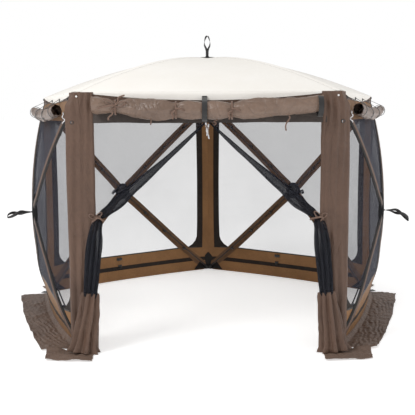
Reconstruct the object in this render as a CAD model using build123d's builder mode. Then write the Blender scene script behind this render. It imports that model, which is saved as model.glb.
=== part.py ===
from build123d import *
import os
from math import acos, atan2, cos, degrees, hypot, radians, sin, tan

# Plan: a regular pentagon with the door wall facing -Y and one corner at the back
SIDES = 5
HALF_ANGLE = radians(180 / SIDES)
ROOF_RADIUS = 1610.0
APOTHEM = ROOF_RADIUS * cos(HALF_ANGLE)
FABRIC_OFFSET = 16.0
FABRIC_THICKNESS = 1.5
WALL_ANGLES = {"right": 72, "back_right": 144, "back_left": 216, "left": 288}
ROOF_SIDES = {"front": 0, "right": 72, "back_right": 144, "back_left": 216, "left": 288}
CORNER_ANGLES = {"front_right": 36, "right": 108, "back": 180, "left": 252, "front_left": 324}

# Heights
EAVE_Z = 1864.0
WALL_TOP_Z = 1805.0
WALL_BOTTOM_Z = 15.0
HUB_Z = (WALL_TOP_Z + WALL_BOTTOM_Z) / 2

# Walls: hinge plane, four triangular panels and four bowed poles to a pop-out hub
HINGE_APOTHEM = APOTHEM - FABRIC_OFFSET
HALF_WIDTH = HINGE_APOTHEM * tan(HALF_ANGLE)
HALF_HEIGHT = (WALL_TOP_Z - WALL_BOTTOM_Z) / 2
HUB_POP = 215.0
WALL_RIDGE = 225.0
WALL_BOW = 36.0
WALL_TRIM = 35.0
WALL_HUB_CUT = 110.0
CORNER_PIN_X = 895.0
CORNER_PIN_Y = 857.0
WALL_PIN_RADIUS = 45.0

# Roof: five facets and five bowed poles to the crown hub
ROOF_HINGE_Z = EAVE_Z - FABRIC_OFFSET
ROOF_RIDGE = 332.0
ROOF_POP = 320.0
ROOF_BOW = 75.0
ROOF_TRIM = 35.0
ROOF_HUB_CUT = 120.0
ROOF_PIN_RADIUS = 55.0
ROOF_CORNER_PIN = 1565.0

# Poles
ROD_RADIUS = 5.5
FERRULE_RADIUS = 8.0
TONGUE_HALF = 4.0
TONGUE_HALF_HEIGHT = 9.0
CORNER_PIN_R = 3.0
EYE_CLEARANCE = 0.08
HUB_PIN_R = 2.5
SLOT_HALF = 5.0
SLOT_SPARE = 1.5
STRIP_HALF = 43.0
WALL_STRIP_OFFSET = 31.5
ROOF_STRIP_OFFSET = 38.0
STRIP_START = 60.0
STRIP_HUB_GAP = 45.0
TABS = 3
TAB_HALF = 1.5
TAB_LENGTH = 26.0

# Hubs
PLATE_THICKNESS = 4.0
PATCH_THICKNESS = 2.0
CHEEK_INNER = 5.0
CHEEK_THICKNESS = 4.0
CHEEK_DEPTH = 11.0
BOLT_RADIUS = 8.0
STRAP_PIN_HEIGHT = 8.0
STRAP_HALF = 12.5
STRAP_LENGTH = 192.0
STRAP_LOOP_HEIGHT = 26.0
WEBBING = 2.5

# Corner posts and eave bands, outside the panels
POST_OFFSET = 26.0
POST_SIDE = 34.0
FRONT_POST_SIDE = 146.0
FRONT_POST_WING = ((945, 40), (1010, 40), (1010, 1752), (952, 1858), (945, 1858))
BAND_TOP_Z = 1862.0
BAND_BOTTOM_Z = 1809.0
FRONT_BAND_BOTTOM_Z = 1660.0
BAND_HALF = 932.0

# Corner sockets
FORK_INNER = 4.6
FORK_OUTER = 8.6
FORK_BACK = 12.0
FORK_END = 36.0
FORK_HALF_HEIGHT = 8.0

# Ground
SKIRT_THICKNESS = 3.0
SKIRT_INNER = 10.0
SKIRT_OUTER = 296.0
SKIRT_OUTER_HALF = 900.0
SKIRT_INNER_HALF = 930.0
FRONT_FLAP = (
    (825, 10), (940, 10), (955, 60), (985, 87), (1010, 78), (1180, 86),
    (1148, 306), (1010, 332), (812, 346), (836, 110),
)
TAB_START = 1625.0
TAB_END = 1692.0
TAB_WIDTH = 60.0
TAB_THICKNESS = 2.5
EYELET_AT = 1665.0
EYELET_OUTER = 13.0
EYELET_R = 6.0

# Rolled wind panels and their webbing hangers
ROLL_RADIUS = 45.0
ROLL_N = 122.0
ROLL_END_Z = 1738.0
ROLL_SAG = 34.0
ROLL_HALF = 790.0
FRONT_ROLL_RADIUS = 68.0
FRONT_ROLL_N = 102.0
FRONT_ROLL_END_Z = 1756.0
FRONT_ROLL_SAG = 30.0
HANGER_AT = (-700.0, -240.0, 240.0, 700.0)
FRONT_HANGER_AT = (-20.0, 785.0)
HANGER_TOP_Z = 1832.0
HANGER_WIDTH = 36.0
HANGER_GAP = 2.5

# Door halves, tied back to the front posts
DOOR_N = -20.0
DOOR_TOP_Z = 1655.0
TIE_X = 800.0
TIE_Z = 985.0
TIE_N = -24.0
BUNDLE_N = 78.0
BUNDLE_RADIUS = 42.0
BUNDLE_TOP_X = 812.0
BUNDLE_TOP_Z = 934.0
BUNDLE_FOOT_X = 872.0

OUTER_CORNER_Y = (
    (HINGE_APOTHEM + SKIRT_OUTER) * cos(HALF_ANGLE) + SKIRT_OUTER_HALF * sin(HALF_ANGLE)
)
FRONT_Y = -(HINGE_APOTHEM + max(n for x, n in FRONT_FLAP))
CENTRE = Vector(0, -(OUTER_CORNER_Y + FRONT_Y) / 2, 0)
UP = Vector(0, 0, 1)

os.makedirs("parts", exist_ok=True)


def outward(angle):
    """The horizontal direction at an angle counted from the door's side."""
    return Vector(sin(radians(angle)), -cos(radians(angle)), 0)


def wall_plane(angle):
    """A wall's hinge plane seen from outside: x to the right, y up, z outward."""
    normal = outward(angle)
    across = Vector(cos(radians(angle)), sin(radians(angle)), 0)
    return Plane(origin=CENTRE + normal * HINGE_APOTHEM, x_dir=across, z_dir=normal)


def side_plane(origin, along, out):
    """The plane that holds two directions, with x along the first and y along the second."""
    return Plane(origin=origin, x_dir=along, z_dir=along.cross(out))


def save(node, label):
    node.part.label = label
    export_step(node.part, f"parts/{label}.step")


def facet(label, origin, inward, out, half_width, depth, ridge, bow, trim, hub_cut):
    """One triangular cloth panel, hinged along its outer edge and bowed toward the hub."""
    chord = Vector(depth, ridge).normalized()
    rise = Vector(-chord.Y, chord.X)
    ends = (Vector(0, 0), Vector(depth, ridge))
    lower = [p + rise * (FABRIC_OFFSET - FABRIC_THICKNESS) for p in ends]
    upper = [p + rise * FABRIC_OFFSET for p in ends]
    lower_mid = (lower[0] + lower[1]) / 2 + rise * bow
    upper_mid = (upper[0] + upper[1]) / 2 + rise * bow
    diagonal = hypot(half_width, depth)
    foot = 5.0
    edge = half_width * (1 - foot / depth) - trim * diagonal / depth
    tip = depth - trim * diagonal / half_width
    with BuildPart() as panel:
        with BuildSketch(side_plane(origin, inward, out)):
            with BuildLine():
                ThreePointArc(lower[0], lower_mid, lower[1])
                Line(lower[1], upper[1])
                ThreePointArc(upper[1], upper_mid, upper[0])
                Line(upper[0], lower[0])
            make_face()
        extrude(amount=half_width, both=True)
        with BuildSketch(Plane(origin=origin, x_dir=inward.cross(out), z_dir=out)):
            with BuildLine():
                Polyline((-edge, foot), (edge, foot), (0, tip), close=True)
            make_face()
            with Locations((0, depth)):
                Circle(hub_cut, mode=Mode.SUBTRACT)
        extrude(amount=600, both=True, mode=Mode.INTERSECT)
    save(panel, label)


def pole(label, pin, inward, out, reach, pop, bow, strip_offset):
    """One bowed rod with its corner eye, slotted hub tongue and the sleeve strip over it."""
    length = hypot(reach, pop)
    overshoot = length - reach
    angle = atan2(pop, reach)
    along = inward * cos(angle) + out * sin(angle)
    across = out * cos(angle) - inward * sin(angle)
    side = side_plane(pin, along, across)
    slot_start = length - overshoot - SLOT_SPARE - SLOT_HALF
    slot_end = length + SLOT_SPARE + SLOT_HALF
    tongue_start = slot_start - 8
    tongue_end = slot_end + 3.5
    rod_end = tongue_start - 24
    rod_start = 40.0
    strip_end = length - STRIP_HUB_GAP

    def height(x):
        return 4 * bow * x * (length - x) / length**2

    ferrules = ((16.0, 24.0, height(rod_start)), (rod_end, 24.0, height(rod_end)))
    with BuildPart() as node:
        with BuildLine(side) as centre_line:
            ThreePointArc((0, 0), (length / 2, bow), (length, 0))
        with BuildSketch(Plane(origin=centre_line.line @ 0, z_dir=centre_line.line % 0)):
            Circle(ROD_RADIUS)
        sweep()
        with BuildSketch(side):
            with Locations(((rod_start + rod_end) / 2, 0)):
                Rectangle(rod_end - rod_start, 4 * bow + 60)
        extrude(amount=40, both=True, mode=Mode.INTERSECT)
        for x, size, y in ferrules:
            with BuildSketch(Plane(origin=side.from_local_coords((x, y, 0)), z_dir=along)):
                Circle(FERRULE_RADIUS)
            extrude(amount=size)
        with BuildSketch(side):
            with Locations((8, 0)):
                Rectangle(16, 2 * TONGUE_HALF_HEIGHT)
            Circle(TONGUE_HALF_HEIGHT)
            Circle(CORNER_PIN_R + EYE_CLEARANCE, mode=Mode.SUBTRACT)
        extrude(amount=TONGUE_HALF, both=True)
        with BuildSketch(side):
            with Locations(((tongue_start + tongue_end) / 2, 0)):
                Rectangle(tongue_end - tongue_start, 2 * TONGUE_HALF_HEIGHT)
            with Locations(((slot_start + slot_end) / 2, 0)):
                SlotOverall(slot_end - slot_start, 2 * SLOT_HALF, mode=Mode.SUBTRACT)
        extrude(amount=TONGUE_HALF, both=True)
        with BuildSketch(side):
            with BuildLine():
                low, high = strip_offset, strip_offset + FABRIC_THICKNESS
                first, last = height(STRIP_START), height(strip_end)
                ThreePointArc((STRIP_START, first + low), (length / 2, bow + low), (strip_end, last + low))
                Line((strip_end, last + low), (strip_end, last + high))
                ThreePointArc((strip_end, last + high), (length / 2, bow + high), (STRIP_START, first + high))
                Line((STRIP_START, first + high), (STRIP_START, first + low))
            make_face()
        extrude(amount=STRIP_HALF, both=True)
        with BuildSketch(side):
            for k in range(1, TABS + 1):
                x = length * k / (TABS + 1)
                slope = degrees(atan2(4 * bow * (length - 2 * x), length**2))
                with Locations((x, height(x) + (strip_offset + 1) / 2 + 0.4)):
                    Rectangle(TAB_LENGTH, strip_offset, rotation=slope)
        extrude(amount=TAB_HALF, both=True)
    save(node, label)


def hub(label, centre, right, out, directions, pin_radius, plate_radius, patch_radius, plate_at, cheeks):
    """The moulded hub that the rods meet in, with its cloth patch and the eye of the pull strap."""
    base = Plane(origin=centre, x_dir=right, z_dir=out)
    patch_at = plate_at + PLATE_THICKNESS
    patch_top = patch_at + PATCH_THICKNESS
    eye_inner = STRAP_HALF + 0.7
    with BuildPart() as node:
        with BuildSketch(base.offset(plate_at)):
            Circle(plate_radius)
        extrude(amount=PLATE_THICKNESS)
        with BuildSketch(base.offset(patch_at)):
            Circle(patch_radius)
        extrude(amount=PATCH_THICKNESS)
        with BuildSketch(base.offset(-CHEEK_DEPTH)):
            Circle(BOLT_RADIUS)
        extrude(amount=CHEEK_DEPTH + plate_at)
        for direction in directions:
            side = side_plane(centre, direction, out)
            for start in (CHEEK_INNER, -CHEEK_INNER - CHEEK_THICKNESS):
                with BuildSketch(side.offset(start)):
                    with Locations(((cheeks[0] + cheeks[1]) / 2, (plate_at - CHEEK_DEPTH) / 2)):
                        Rectangle(cheeks[1] - cheeks[0], plate_at + CHEEK_DEPTH)
                extrude(amount=CHEEK_THICKNESS)
            with BuildSketch(side.offset(-CHEEK_INNER - CHEEK_THICKNESS)):
                with Locations((pin_radius, 0)):
                    Circle(HUB_PIN_R)
            extrude(amount=2 * (CHEEK_INNER + CHEEK_THICKNESS))
        eye = side_plane(centre + out * patch_top, out, right)
        eye_side = Plane(origin=eye.origin, x_dir=out, z_dir=right)
        for start in (eye_inner, -eye_inner - 3):
            with BuildSketch(eye_side.offset(start)):
                with Locations((STRAP_PIN_HEIGHT / 2, 0)):
                    Rectangle(STRAP_PIN_HEIGHT, 12)
                with Locations((STRAP_PIN_HEIGHT, 0)):
                    Circle(6)
            extrude(amount=3)
        with BuildSketch(eye_side.offset(-eye_inner - 3)):
            with Locations((STRAP_PIN_HEIGHT, 0)):
                Circle(CORNER_PIN_R)
        extrude(amount=2 * (eye_inner + 3))
    save(node, label)


def pull_strap(label, centre, right, out, patch_top):
    """A loop of webbing that hangs on the hub's eye."""
    pin = centre + out * (patch_top + STRAP_PIN_HEIGHT)
    with BuildPart() as node:
        with BuildSketch(Plane(origin=pin, x_dir=out, z_dir=right)):
            with Locations((4 + STRAP_LENGTH / 2, 0)):
                SlotOverall(STRAP_LENGTH, STRAP_LOOP_HEIGHT)
                SlotOverall(STRAP_LENGTH - 2 * WEBBING, STRAP_LOOP_HEIGHT - 2 * WEBBING, mode=Mode.SUBTRACT)
            Circle(6.5)
            Circle(CORNER_PIN_R + EYE_CLEARANCE, mode=Mode.SUBTRACT)
        extrude(amount=STRAP_HALF, both=True)
    save(node, label)


# The four hub walls
CORNER_SIGNS = {"upper_left": (-1, 1), "upper_right": (1, 1), "lower_left": (-1, -1), "lower_right": (1, -1)}
DIAGONAL = hypot(CORNER_PIN_X, CORNER_PIN_Y)
for wall, wall_angle in WALL_ANGLES.items():
    plane = wall_plane(wall_angle)
    right, out = plane.x_dir, plane.z_dir
    edges = {
        "top": ((0, WALL_TOP_Z), UP * -1, HALF_WIDTH, HALF_HEIGHT),
        "bottom": ((0, WALL_BOTTOM_Z), UP, HALF_WIDTH, HALF_HEIGHT),
        "left": ((-HALF_WIDTH, HUB_Z), right, HALF_HEIGHT, HALF_WIDTH),
        "right": ((HALF_WIDTH, HUB_Z), right * -1, HALF_HEIGHT, HALF_WIDTH),
    }
    for place, ((x, y), inward, half, depth) in edges.items():
        start = plane.from_local_coords((x, y, 0))
        facet(
            f"panel_{wall}_{place}", start, inward, out, half, depth,
            WALL_RIDGE, WALL_BOW, WALL_TRIM, WALL_HUB_CUT,
        )
    corner_directions = []
    for place, (sx, sy) in CORNER_SIGNS.items():
        pin = plane.from_local_coords((sx * CORNER_PIN_X, HUB_Z + sy * CORNER_PIN_Y, 0))
        toward_corner = (right * (sx * CORNER_PIN_X) + UP * (sy * CORNER_PIN_Y)).normalized()
        corner_directions.append(toward_corner)
        pole(
            f"pole_{wall}_{place}", pin, toward_corner * -1, out,
            DIAGONAL - WALL_PIN_RADIUS, HUB_POP, WALL_BOW, WALL_STRIP_OFFSET,
        )
    hub_centre = plane.from_local_coords((0, HUB_Z, HUB_POP))
    hub(
        f"hub_{wall}", hub_centre, right, out, corner_directions,
        WALL_PIN_RADIUS, 60.0, 75.0, 16.0, (28.0, 58.0),
    )
    pull_strap(f"pull_strap_{wall}", hub_centre, right, out, 16 + PLATE_THICKNESS + PATCH_THICKNESS)

# The roof
for place, roof_angle in ROOF_SIDES.items():
    normal = outward(roof_angle)
    eave = CENTRE + normal * APOTHEM + UP * ROOF_HINGE_Z
    facet(
        f"roof_panel_{place}", eave, normal * -1, UP, APOTHEM * tan(HALF_ANGLE), APOTHEM,
        ROOF_RIDGE, ROOF_BOW, ROOF_TRIM, ROOF_HUB_CUT,
    )
for place, corner_angle in CORNER_ANGLES.items():
    normal = outward(corner_angle)
    pin = CENTRE + normal * ROOF_CORNER_PIN + UP * ROOF_HINGE_Z
    pole(
        f"roof_pole_{place}", pin, normal * -1, UP,
        ROOF_CORNER_PIN - ROOF_PIN_RADIUS, ROOF_POP, ROOF_BOW, ROOF_STRIP_OFFSET,
    )
crown = CENTRE + UP * (ROOF_HINGE_Z + ROOF_POP)
crown_directions = [outward(a) for a in CORNER_ANGLES.values()]
hub(
    "hub_roof", crown, Vector(1, 0, 0), UP, crown_directions,
    ROOF_PIN_RADIUS, 65.0, 70.0, 18.0, (38.0, 68.0),
)
pull_strap("pull_strap_roof", crown, Vector(1, 0, 0), UP, 18 + PLATE_THICKNESS + PATCH_THICKNESS)

# Corner posts: folded cloth strips down every corner, wider on the door side
with BuildPart() as corner_posts:
    for place, corner_angle in CORNER_ANGLES.items():
        inner = HINGE_APOTHEM + POST_OFFSET
        outer = inner + FABRIC_THICKNESS
        sides = [POST_SIDE, POST_SIDE]
        if place == "front_right":
            sides[0] = FRONT_POST_SIDE
        if place == "front_left":
            sides[1] = FRONT_POST_SIDE
        walls = (outward(corner_angle - 36), outward(corner_angle + 36))
        turns = (outward(corner_angle - 36 + 90), outward(corner_angle + 36 - 90))
        loop = []
        for wall_normal, along, size in ((walls[0], turns[0], sides[0]), (walls[1], turns[1], sides[1])):
            end = inner * tan(HALF_ANGLE) - size
            loop.append([CENTRE + wall_normal * r + along * end for r in (inner, outer)])
        inner_corner = CENTRE + outward(corner_angle) * (inner / cos(HALF_ANGLE))
        outer_corner = CENTRE + outward(corner_angle) * (outer / cos(HALF_ANGLE))
        outline = [loop[0][0], inner_corner, loop[1][0], loop[1][1], outer_corner, loop[0][1]]
        with BuildSketch(Plane.XY.offset(SKIRT_THICKNESS)):
            with BuildLine():
                Polyline(*[(p.X, p.Y) for p in outline], close=True)
            make_face()
        extrude(amount=EAVE_Z - SKIRT_THICKNESS)
    for sign in (-1, 1):
        with BuildSketch(wall_plane(0).offset(POST_OFFSET)):
            with BuildLine():
                Polyline(*[(sign * x, z) for x, z in FRONT_POST_WING], close=True)
            make_face()
        extrude(amount=FABRIC_THICKNESS)
save(corner_posts, "corner_posts")

# Eave bands between the posts, deep on the door side
with BuildPart() as eave_bands:
    for place, band_angle in ROOF_SIDES.items():
        low = FRONT_BAND_BOTTOM_Z if place == "front" else BAND_BOTTOM_Z
        band_plane = wall_plane(band_angle).offset(POST_OFFSET - FABRIC_THICKNESS)
        with BuildSketch(band_plane):
            with Locations((0, (low + BAND_TOP_Z) / 2)):
                Rectangle(2 * BAND_HALF, BAND_TOP_Z - low)
        extrude(amount=FABRIC_THICKNESS)
save(eave_bands, "eave_bands")

# Corner sockets: the forks that hold the poles' corner ends
with BuildPart() as corner_sockets:
    for wall_angle in WALL_ANGLES.values():
        plane = wall_plane(wall_angle)
        for sx, sy in CORNER_SIGNS.values():
            pin = plane.from_local_coords((sx * CORNER_PIN_X, HUB_Z + sy * CORNER_PIN_Y, 0))
            toward = (plane.x_dir * (sx * CORNER_PIN_X) + UP * (sy * CORNER_PIN_Y)).normalized()
            side = side_plane(pin, toward, plane.z_dir)
            for start in (FORK_INNER, -FORK_OUTER):
                with BuildSketch(side.offset(start)):
                    with Locations(((FORK_END - FORK_HALF_HEIGHT) / 2, 0)):
                        Rectangle(FORK_END + FORK_HALF_HEIGHT, 2 * FORK_HALF_HEIGHT)
                extrude(amount=FORK_OUTER - FORK_INNER)
            with BuildSketch(side):
                with Locations(((FORK_BACK + FORK_END) / 2, (POST_OFFSET - FORK_HALF_HEIGHT) / 2)):
                    Rectangle(FORK_END - FORK_BACK, POST_OFFSET + FORK_HALF_HEIGHT)
            extrude(amount=FORK_OUTER, both=True)
            with BuildSketch(side):
                Circle(CORNER_PIN_R)
            extrude(amount=FORK_OUTER, both=True)
    for corner_angle in CORNER_ANGLES.values():
        normal = outward(corner_angle)
        pin = CENTRE + normal * ROOF_CORNER_PIN + UP * ROOF_HINGE_Z
        side = side_plane(pin, normal, UP)
        tip = (HINGE_APOTHEM + POST_OFFSET) / cos(HALF_ANGLE) - ROOF_CORNER_PIN
        shoulder = tip - FORK_OUTER * tan(HALF_ANGLE)
        for start in (FORK_INNER, -FORK_OUTER):
            with BuildSketch(side.offset(start)):
                with Locations(((FORK_BACK + 6 - FORK_HALF_HEIGHT) / 2, 0)):
                    Rectangle(FORK_BACK + 6 + FORK_HALF_HEIGHT, 2 * FORK_HALF_HEIGHT)
            extrude(amount=FORK_OUTER - FORK_INNER)
        with BuildSketch(Plane(origin=pin, x_dir=normal, z_dir=UP)):
            with BuildLine():
                Polyline(
                    (FORK_BACK, -FORK_OUTER), (shoulder, -FORK_OUTER), (tip, 0),
                    (shoulder, FORK_OUTER), (FORK_BACK, FORK_OUTER), close=True,
                )
            make_face()
        extrude(amount=FORK_HALF_HEIGHT, both=True)
        with BuildSketch(side):
            Circle(CORNER_PIN_R)
        extrude(amount=FORK_OUTER, both=True)
save(corner_sockets, "corner_sockets")

# Ground skirts
with BuildPart() as ground_skirts:
    outlines = []
    for wall_angle in WALL_ANGLES.values():
        flap = (
            (-SKIRT_INNER_HALF, SKIRT_INNER), (SKIRT_INNER_HALF, SKIRT_INNER),
            (SKIRT_OUTER_HALF, SKIRT_OUTER), (-SKIRT_OUTER_HALF, SKIRT_OUTER),
        )
        outlines.append((wall_angle, flap))
    for sign in (-1, 1):
        outlines.append((0, [(sign * x, n) for x, n in FRONT_FLAP]))
    for flap_angle, flap in outlines:
        plane = wall_plane(flap_angle)
        corners = [plane.from_local_coords((x, 0, n)) for x, n in flap]
        with BuildSketch(Plane.XY):
            with BuildLine():
                Polyline(*[(p.X, p.Y) for p in corners], close=True)
            make_face()
        extrude(amount=SKIRT_THICKNESS)
save(ground_skirts, "ground_skirts")

# Stake tabs with eyelets at the five ground corners
with BuildPart() as stake_tabs:
    for corner_angle in CORNER_ANGLES.values():
        normal = outward(corner_angle)
        ground = Plane(origin=CENTRE, x_dir=normal, z_dir=UP)
        with BuildSketch(ground.offset(SKIRT_THICKNESS)):
            with Locations(((TAB_START + TAB_END) / 2, 0)):
                Rectangle(TAB_END - TAB_START, TAB_WIDTH)
        extrude(amount=TAB_THICKNESS)
        with BuildSketch(ground):
            with Locations((EYELET_AT, 0)):
                Circle(EYELET_OUTER)
        extrude(amount=SKIRT_THICKNESS)
        with BuildSketch(ground):
            with Locations((EYELET_AT, 0)):
                Circle(EYELET_R)
        extrude(amount=SKIRT_THICKNESS + TAB_THICKNESS, mode=Mode.SUBTRACT)
save(stake_tabs, "stake_tabs")


def roll_size(place):
    """A roll's radius, distance out, end height, sag and its hangers' places."""
    if place == "front":
        return FRONT_ROLL_RADIUS, FRONT_ROLL_N, FRONT_ROLL_END_Z, FRONT_ROLL_SAG, FRONT_HANGER_AT
    return ROLL_RADIUS, ROLL_N, ROLL_END_Z, ROLL_SAG, HANGER_AT


# Rolled wind panels under the eaves
with BuildPart() as wind_panel_rolls:
    for place, roll_angle in ROOF_SIDES.items():
        radius, reach, end_z, sag, hangers = roll_size(place)
        with BuildLine(wall_plane(roll_angle).offset(reach)) as roll_line:
            ThreePointArc((-ROLL_HALF, end_z), (0, end_z - sag), (ROLL_HALF, end_z))
        with BuildSketch(Plane(origin=roll_line.line @ 0, z_dir=roll_line.line % 0)):
            Circle(radius)
        sweep()
save(wind_panel_rolls, "wind_panel_rolls")

# Webbing hangers round the rolls, sewn to the eave bands
with BuildPart() as roll_hangers:
    for place, roll_angle in ROOF_SIDES.items():
        radius, reach, end_z, sag, hangers = roll_size(place)
        plane = wall_plane(roll_angle)
        for x in hangers:
            z = end_z - sag * (1 - (x / ROLL_HALF) ** 2)
            inner = radius + HANGER_GAP
            outer = inner + WEBBING
            edge = plane.from_local_coords((x - HANGER_WIDTH / 2, 0, 0))
            start = Vector(POST_OFFSET + WEBBING * 0.7, HANGER_TOP_Z - 4)
            middle = Vector(reach, z)
            spoke = start - middle
            turn = atan2(spoke.Y, spoke.X) - acos(outer / spoke.length)
            inward = Vector(cos(turn), sin(turn)) * -1
            end = middle - inward * outer
            strip = [start, end, end + inward * WEBBING, start + inward * WEBBING]
            with BuildSketch(Plane(origin=edge, x_dir=plane.z_dir, z_dir=plane.x_dir * -1)):
                with Locations((reach, z)):
                    Circle(outer)
                    Circle(inner, mode=Mode.SUBTRACT)
                with Locations((POST_OFFSET + WEBBING / 2, HANGER_TOP_Z - 10)):
                    Rectangle(WEBBING, 20)
                with BuildLine():
                    Polyline(*strip, close=True)
                make_face()
            extrude(amount=-HANGER_WIDTH)
save(roll_hangers, "roll_hangers")

# Door halves: a smooth mesh triangle with its gathered edge, then the bundle below the tie
with BuildPart() as door_halves:
    front = wall_plane(0)
    for sign in (-1, 1):
        with BuildSketch(front.offset(DOOR_N)):
            with BuildLine():
                Polyline(
                    (sign * 905, DOOR_TOP_Z), (sign * 8, DOOR_TOP_Z), (sign * TIE_X, TIE_Z),
                    (sign * 905, TIE_Z), close=True,
                )
            make_face()
        extrude(amount=2)
        top = front.from_local_coords((sign * 16, DOOR_TOP_Z - 16, DOOR_N + 1))
        tie = front.from_local_coords((sign * TIE_X, TIE_Z, TIE_N))
        fold = (tie - top).normalized()
        with BuildSketch(Plane(origin=top, z_dir=fold)):
            Circle(10)
        with BuildSketch(Plane(origin=tie, z_dir=fold)):
            Circle(BUNDLE_RADIUS * 0.9)
        loft()
        head_at = front.from_local_coords((sign * BUNDLE_TOP_X, BUNDLE_TOP_Z, BUNDLE_N))
        with BuildSketch(Plane(origin=head_at, z_dir=UP)):
            Circle(BUNDLE_RADIUS)
        foot_at = front.from_local_coords((sign * BUNDLE_FOOT_X, SKIRT_THICKNESS + 1, BUNDLE_N))
        with BuildSketch(Plane(origin=foot_at, z_dir=UP)):
            Circle(BUNDLE_RADIUS * 1.15)
        loft()
save(door_halves, "door_halves")
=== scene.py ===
from math import copysign, cos, exp, hypot, pi, radians, sin, sqrt, tan

import bmesh
import bpy
from mathutils import Matrix, Vector, noise


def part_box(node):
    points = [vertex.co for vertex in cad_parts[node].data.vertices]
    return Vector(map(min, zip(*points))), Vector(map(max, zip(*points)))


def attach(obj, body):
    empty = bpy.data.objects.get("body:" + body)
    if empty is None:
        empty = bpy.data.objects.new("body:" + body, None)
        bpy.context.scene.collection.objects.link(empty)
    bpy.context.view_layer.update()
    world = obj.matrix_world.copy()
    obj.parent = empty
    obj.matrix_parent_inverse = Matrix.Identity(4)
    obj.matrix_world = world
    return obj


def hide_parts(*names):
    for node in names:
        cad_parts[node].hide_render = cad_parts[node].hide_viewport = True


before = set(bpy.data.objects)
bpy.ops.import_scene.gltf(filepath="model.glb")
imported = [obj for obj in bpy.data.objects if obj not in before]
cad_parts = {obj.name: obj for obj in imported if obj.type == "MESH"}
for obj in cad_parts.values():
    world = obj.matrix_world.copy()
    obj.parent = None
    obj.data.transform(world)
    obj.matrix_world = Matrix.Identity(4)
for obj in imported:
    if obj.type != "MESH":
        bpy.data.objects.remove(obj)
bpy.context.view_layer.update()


def vec(*coordinates):
    return Vector(coordinates)


UP = vec(0, 0, 1)

# ---------------------------------------------------------------- sizes, in metres
HALF_ANGLE = radians(36)
ROOF_RADIUS = 1.610
APOTHEM = ROOF_RADIUS * cos(HALF_ANGLE)
OFFSET = 0.016
HINGE = APOTHEM - OFFSET
SIDE_HALF = APOTHEM * tan(HALF_ANGLE)
EAVE = 1.864
WALL_TOP = 1.816
WALL_FOOT = 0.004
HUB_Z = (WALL_TOP + WALL_FOOT) / 2
HALF_HEIGHT = (WALL_TOP - WALL_FOOT) / 2
RIDGE = 0.225
BOW = 0.036
POP = 0.215
CORNER_PIN = (0.895, 0.857)
WALL_PIN_RADIUS = 0.045
ROOF_RISE = 0.322
ROOF_HINGE_Z = EAVE - OFFSET
ROOF_POP = 0.320
ROOF_BOW = 0.075
ROOF_CORNER_PIN = 1.565
ROOF_PIN_RADIUS = 0.055
BAND_LINE = 1.660
SIDE_BAND_FOOT = 1.806
FOOT_BAND = 0.244
BINDING = 0.012
COLUMN = 0.125
COLUMN_BROWN = 0.062
STRIPE = (0.100, 0.140)
EAVE_SAG = 0.062
FOOT_BULGE = 0.070
SLEEVE_HALF = 0.0435
ROOF_GAP, WALL_GAP = 0.043, 0.048
SLEEVE_STEPS = 80
ROD, ROD_TABS = 0.0055, 3

WALLS = {"right": 72, "back_right": 144, "back_left": 216, "left": 288}
SIDES = {"front": 0, **WALLS}
CORNERS = {"front_right": 36, "right": 108, "back": 180, "left": 252, "front_left": 324}
POLE_CORNERS = {"upper_left": (-1, 1), "upper_right": (1, 1), "lower_left": (-1, -1), "lower_right": (1, -1)}
ROOT = "canopy_frame"
HANDS = ((-1, "left"), (1, "right"))

crown_low, crown_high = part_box("hub_roof")
CENTRE = vec((crown_low.x + crown_high.x) / 2, (crown_low.y + crown_high.y) / 2, 0)


def outward(degrees):
    a = radians(degrees)
    return vec(sin(a), -cos(a), 0)


def across(degrees):
    a = radians(degrees)
    return vec(cos(a), sin(a), 0)


def columns(x, y, z, origin):
    """The matrix that carries local x, y and z onto three directions at an origin."""
    m = Matrix((x, y, z)).transposed().to_4x4()
    m.translation = origin
    return m



def wall_matrix(degrees):
    """Wall space: x to the right seen from outside, y up, z outward from the hinge plane."""
    return columns(across(degrees), UP, outward(degrees), CENTRE + outward(degrees) * HINGE)


def roof_matrix(degrees):
    """Roof space: x along the eave, y inward, z up."""
    return columns(across(degrees), -outward(degrees), UP, CENTRE + outward(degrees) * APOTHEM)


def turn_matrix(degrees):
    """Corner space: x outward through a corner, y sideways, z up, from the centre."""
    return columns(outward(degrees), UP.cross(outward(degrees)), UP, CENTRE)


def fbm(x, y, z):
    """Three octaves of smooth noise."""
    total, size, p = 0.0, 1.0, vec(x, y, z)
    for _ in range(3):
        total += size * noise.noise(p)
        p = p * 2.1
        size *= 0.5
    return total


def smooth(t):
    t = min(max(t, 0.0), 1.0)
    return t * t * (3 - 2 * t)


def mix(a, b, t):
    return a + (b - a) * t


# ---------------------------------------------------------------- materials
def linear(r, g, b):
    """A colour read as 0 to 255 display values, made linear."""

    def channel(v):
        v /= 255
        return v / 12.92 if v <= 0.04045 else ((v + 0.055) / 1.055) ** 2.4

    return (channel(r), channel(g), channel(b), 1.0)


def scaled(colour, factor, more=0.0):
    return tuple(min(1.0, c * factor + more) for c in colour[:3]) + (1.0,)


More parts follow.
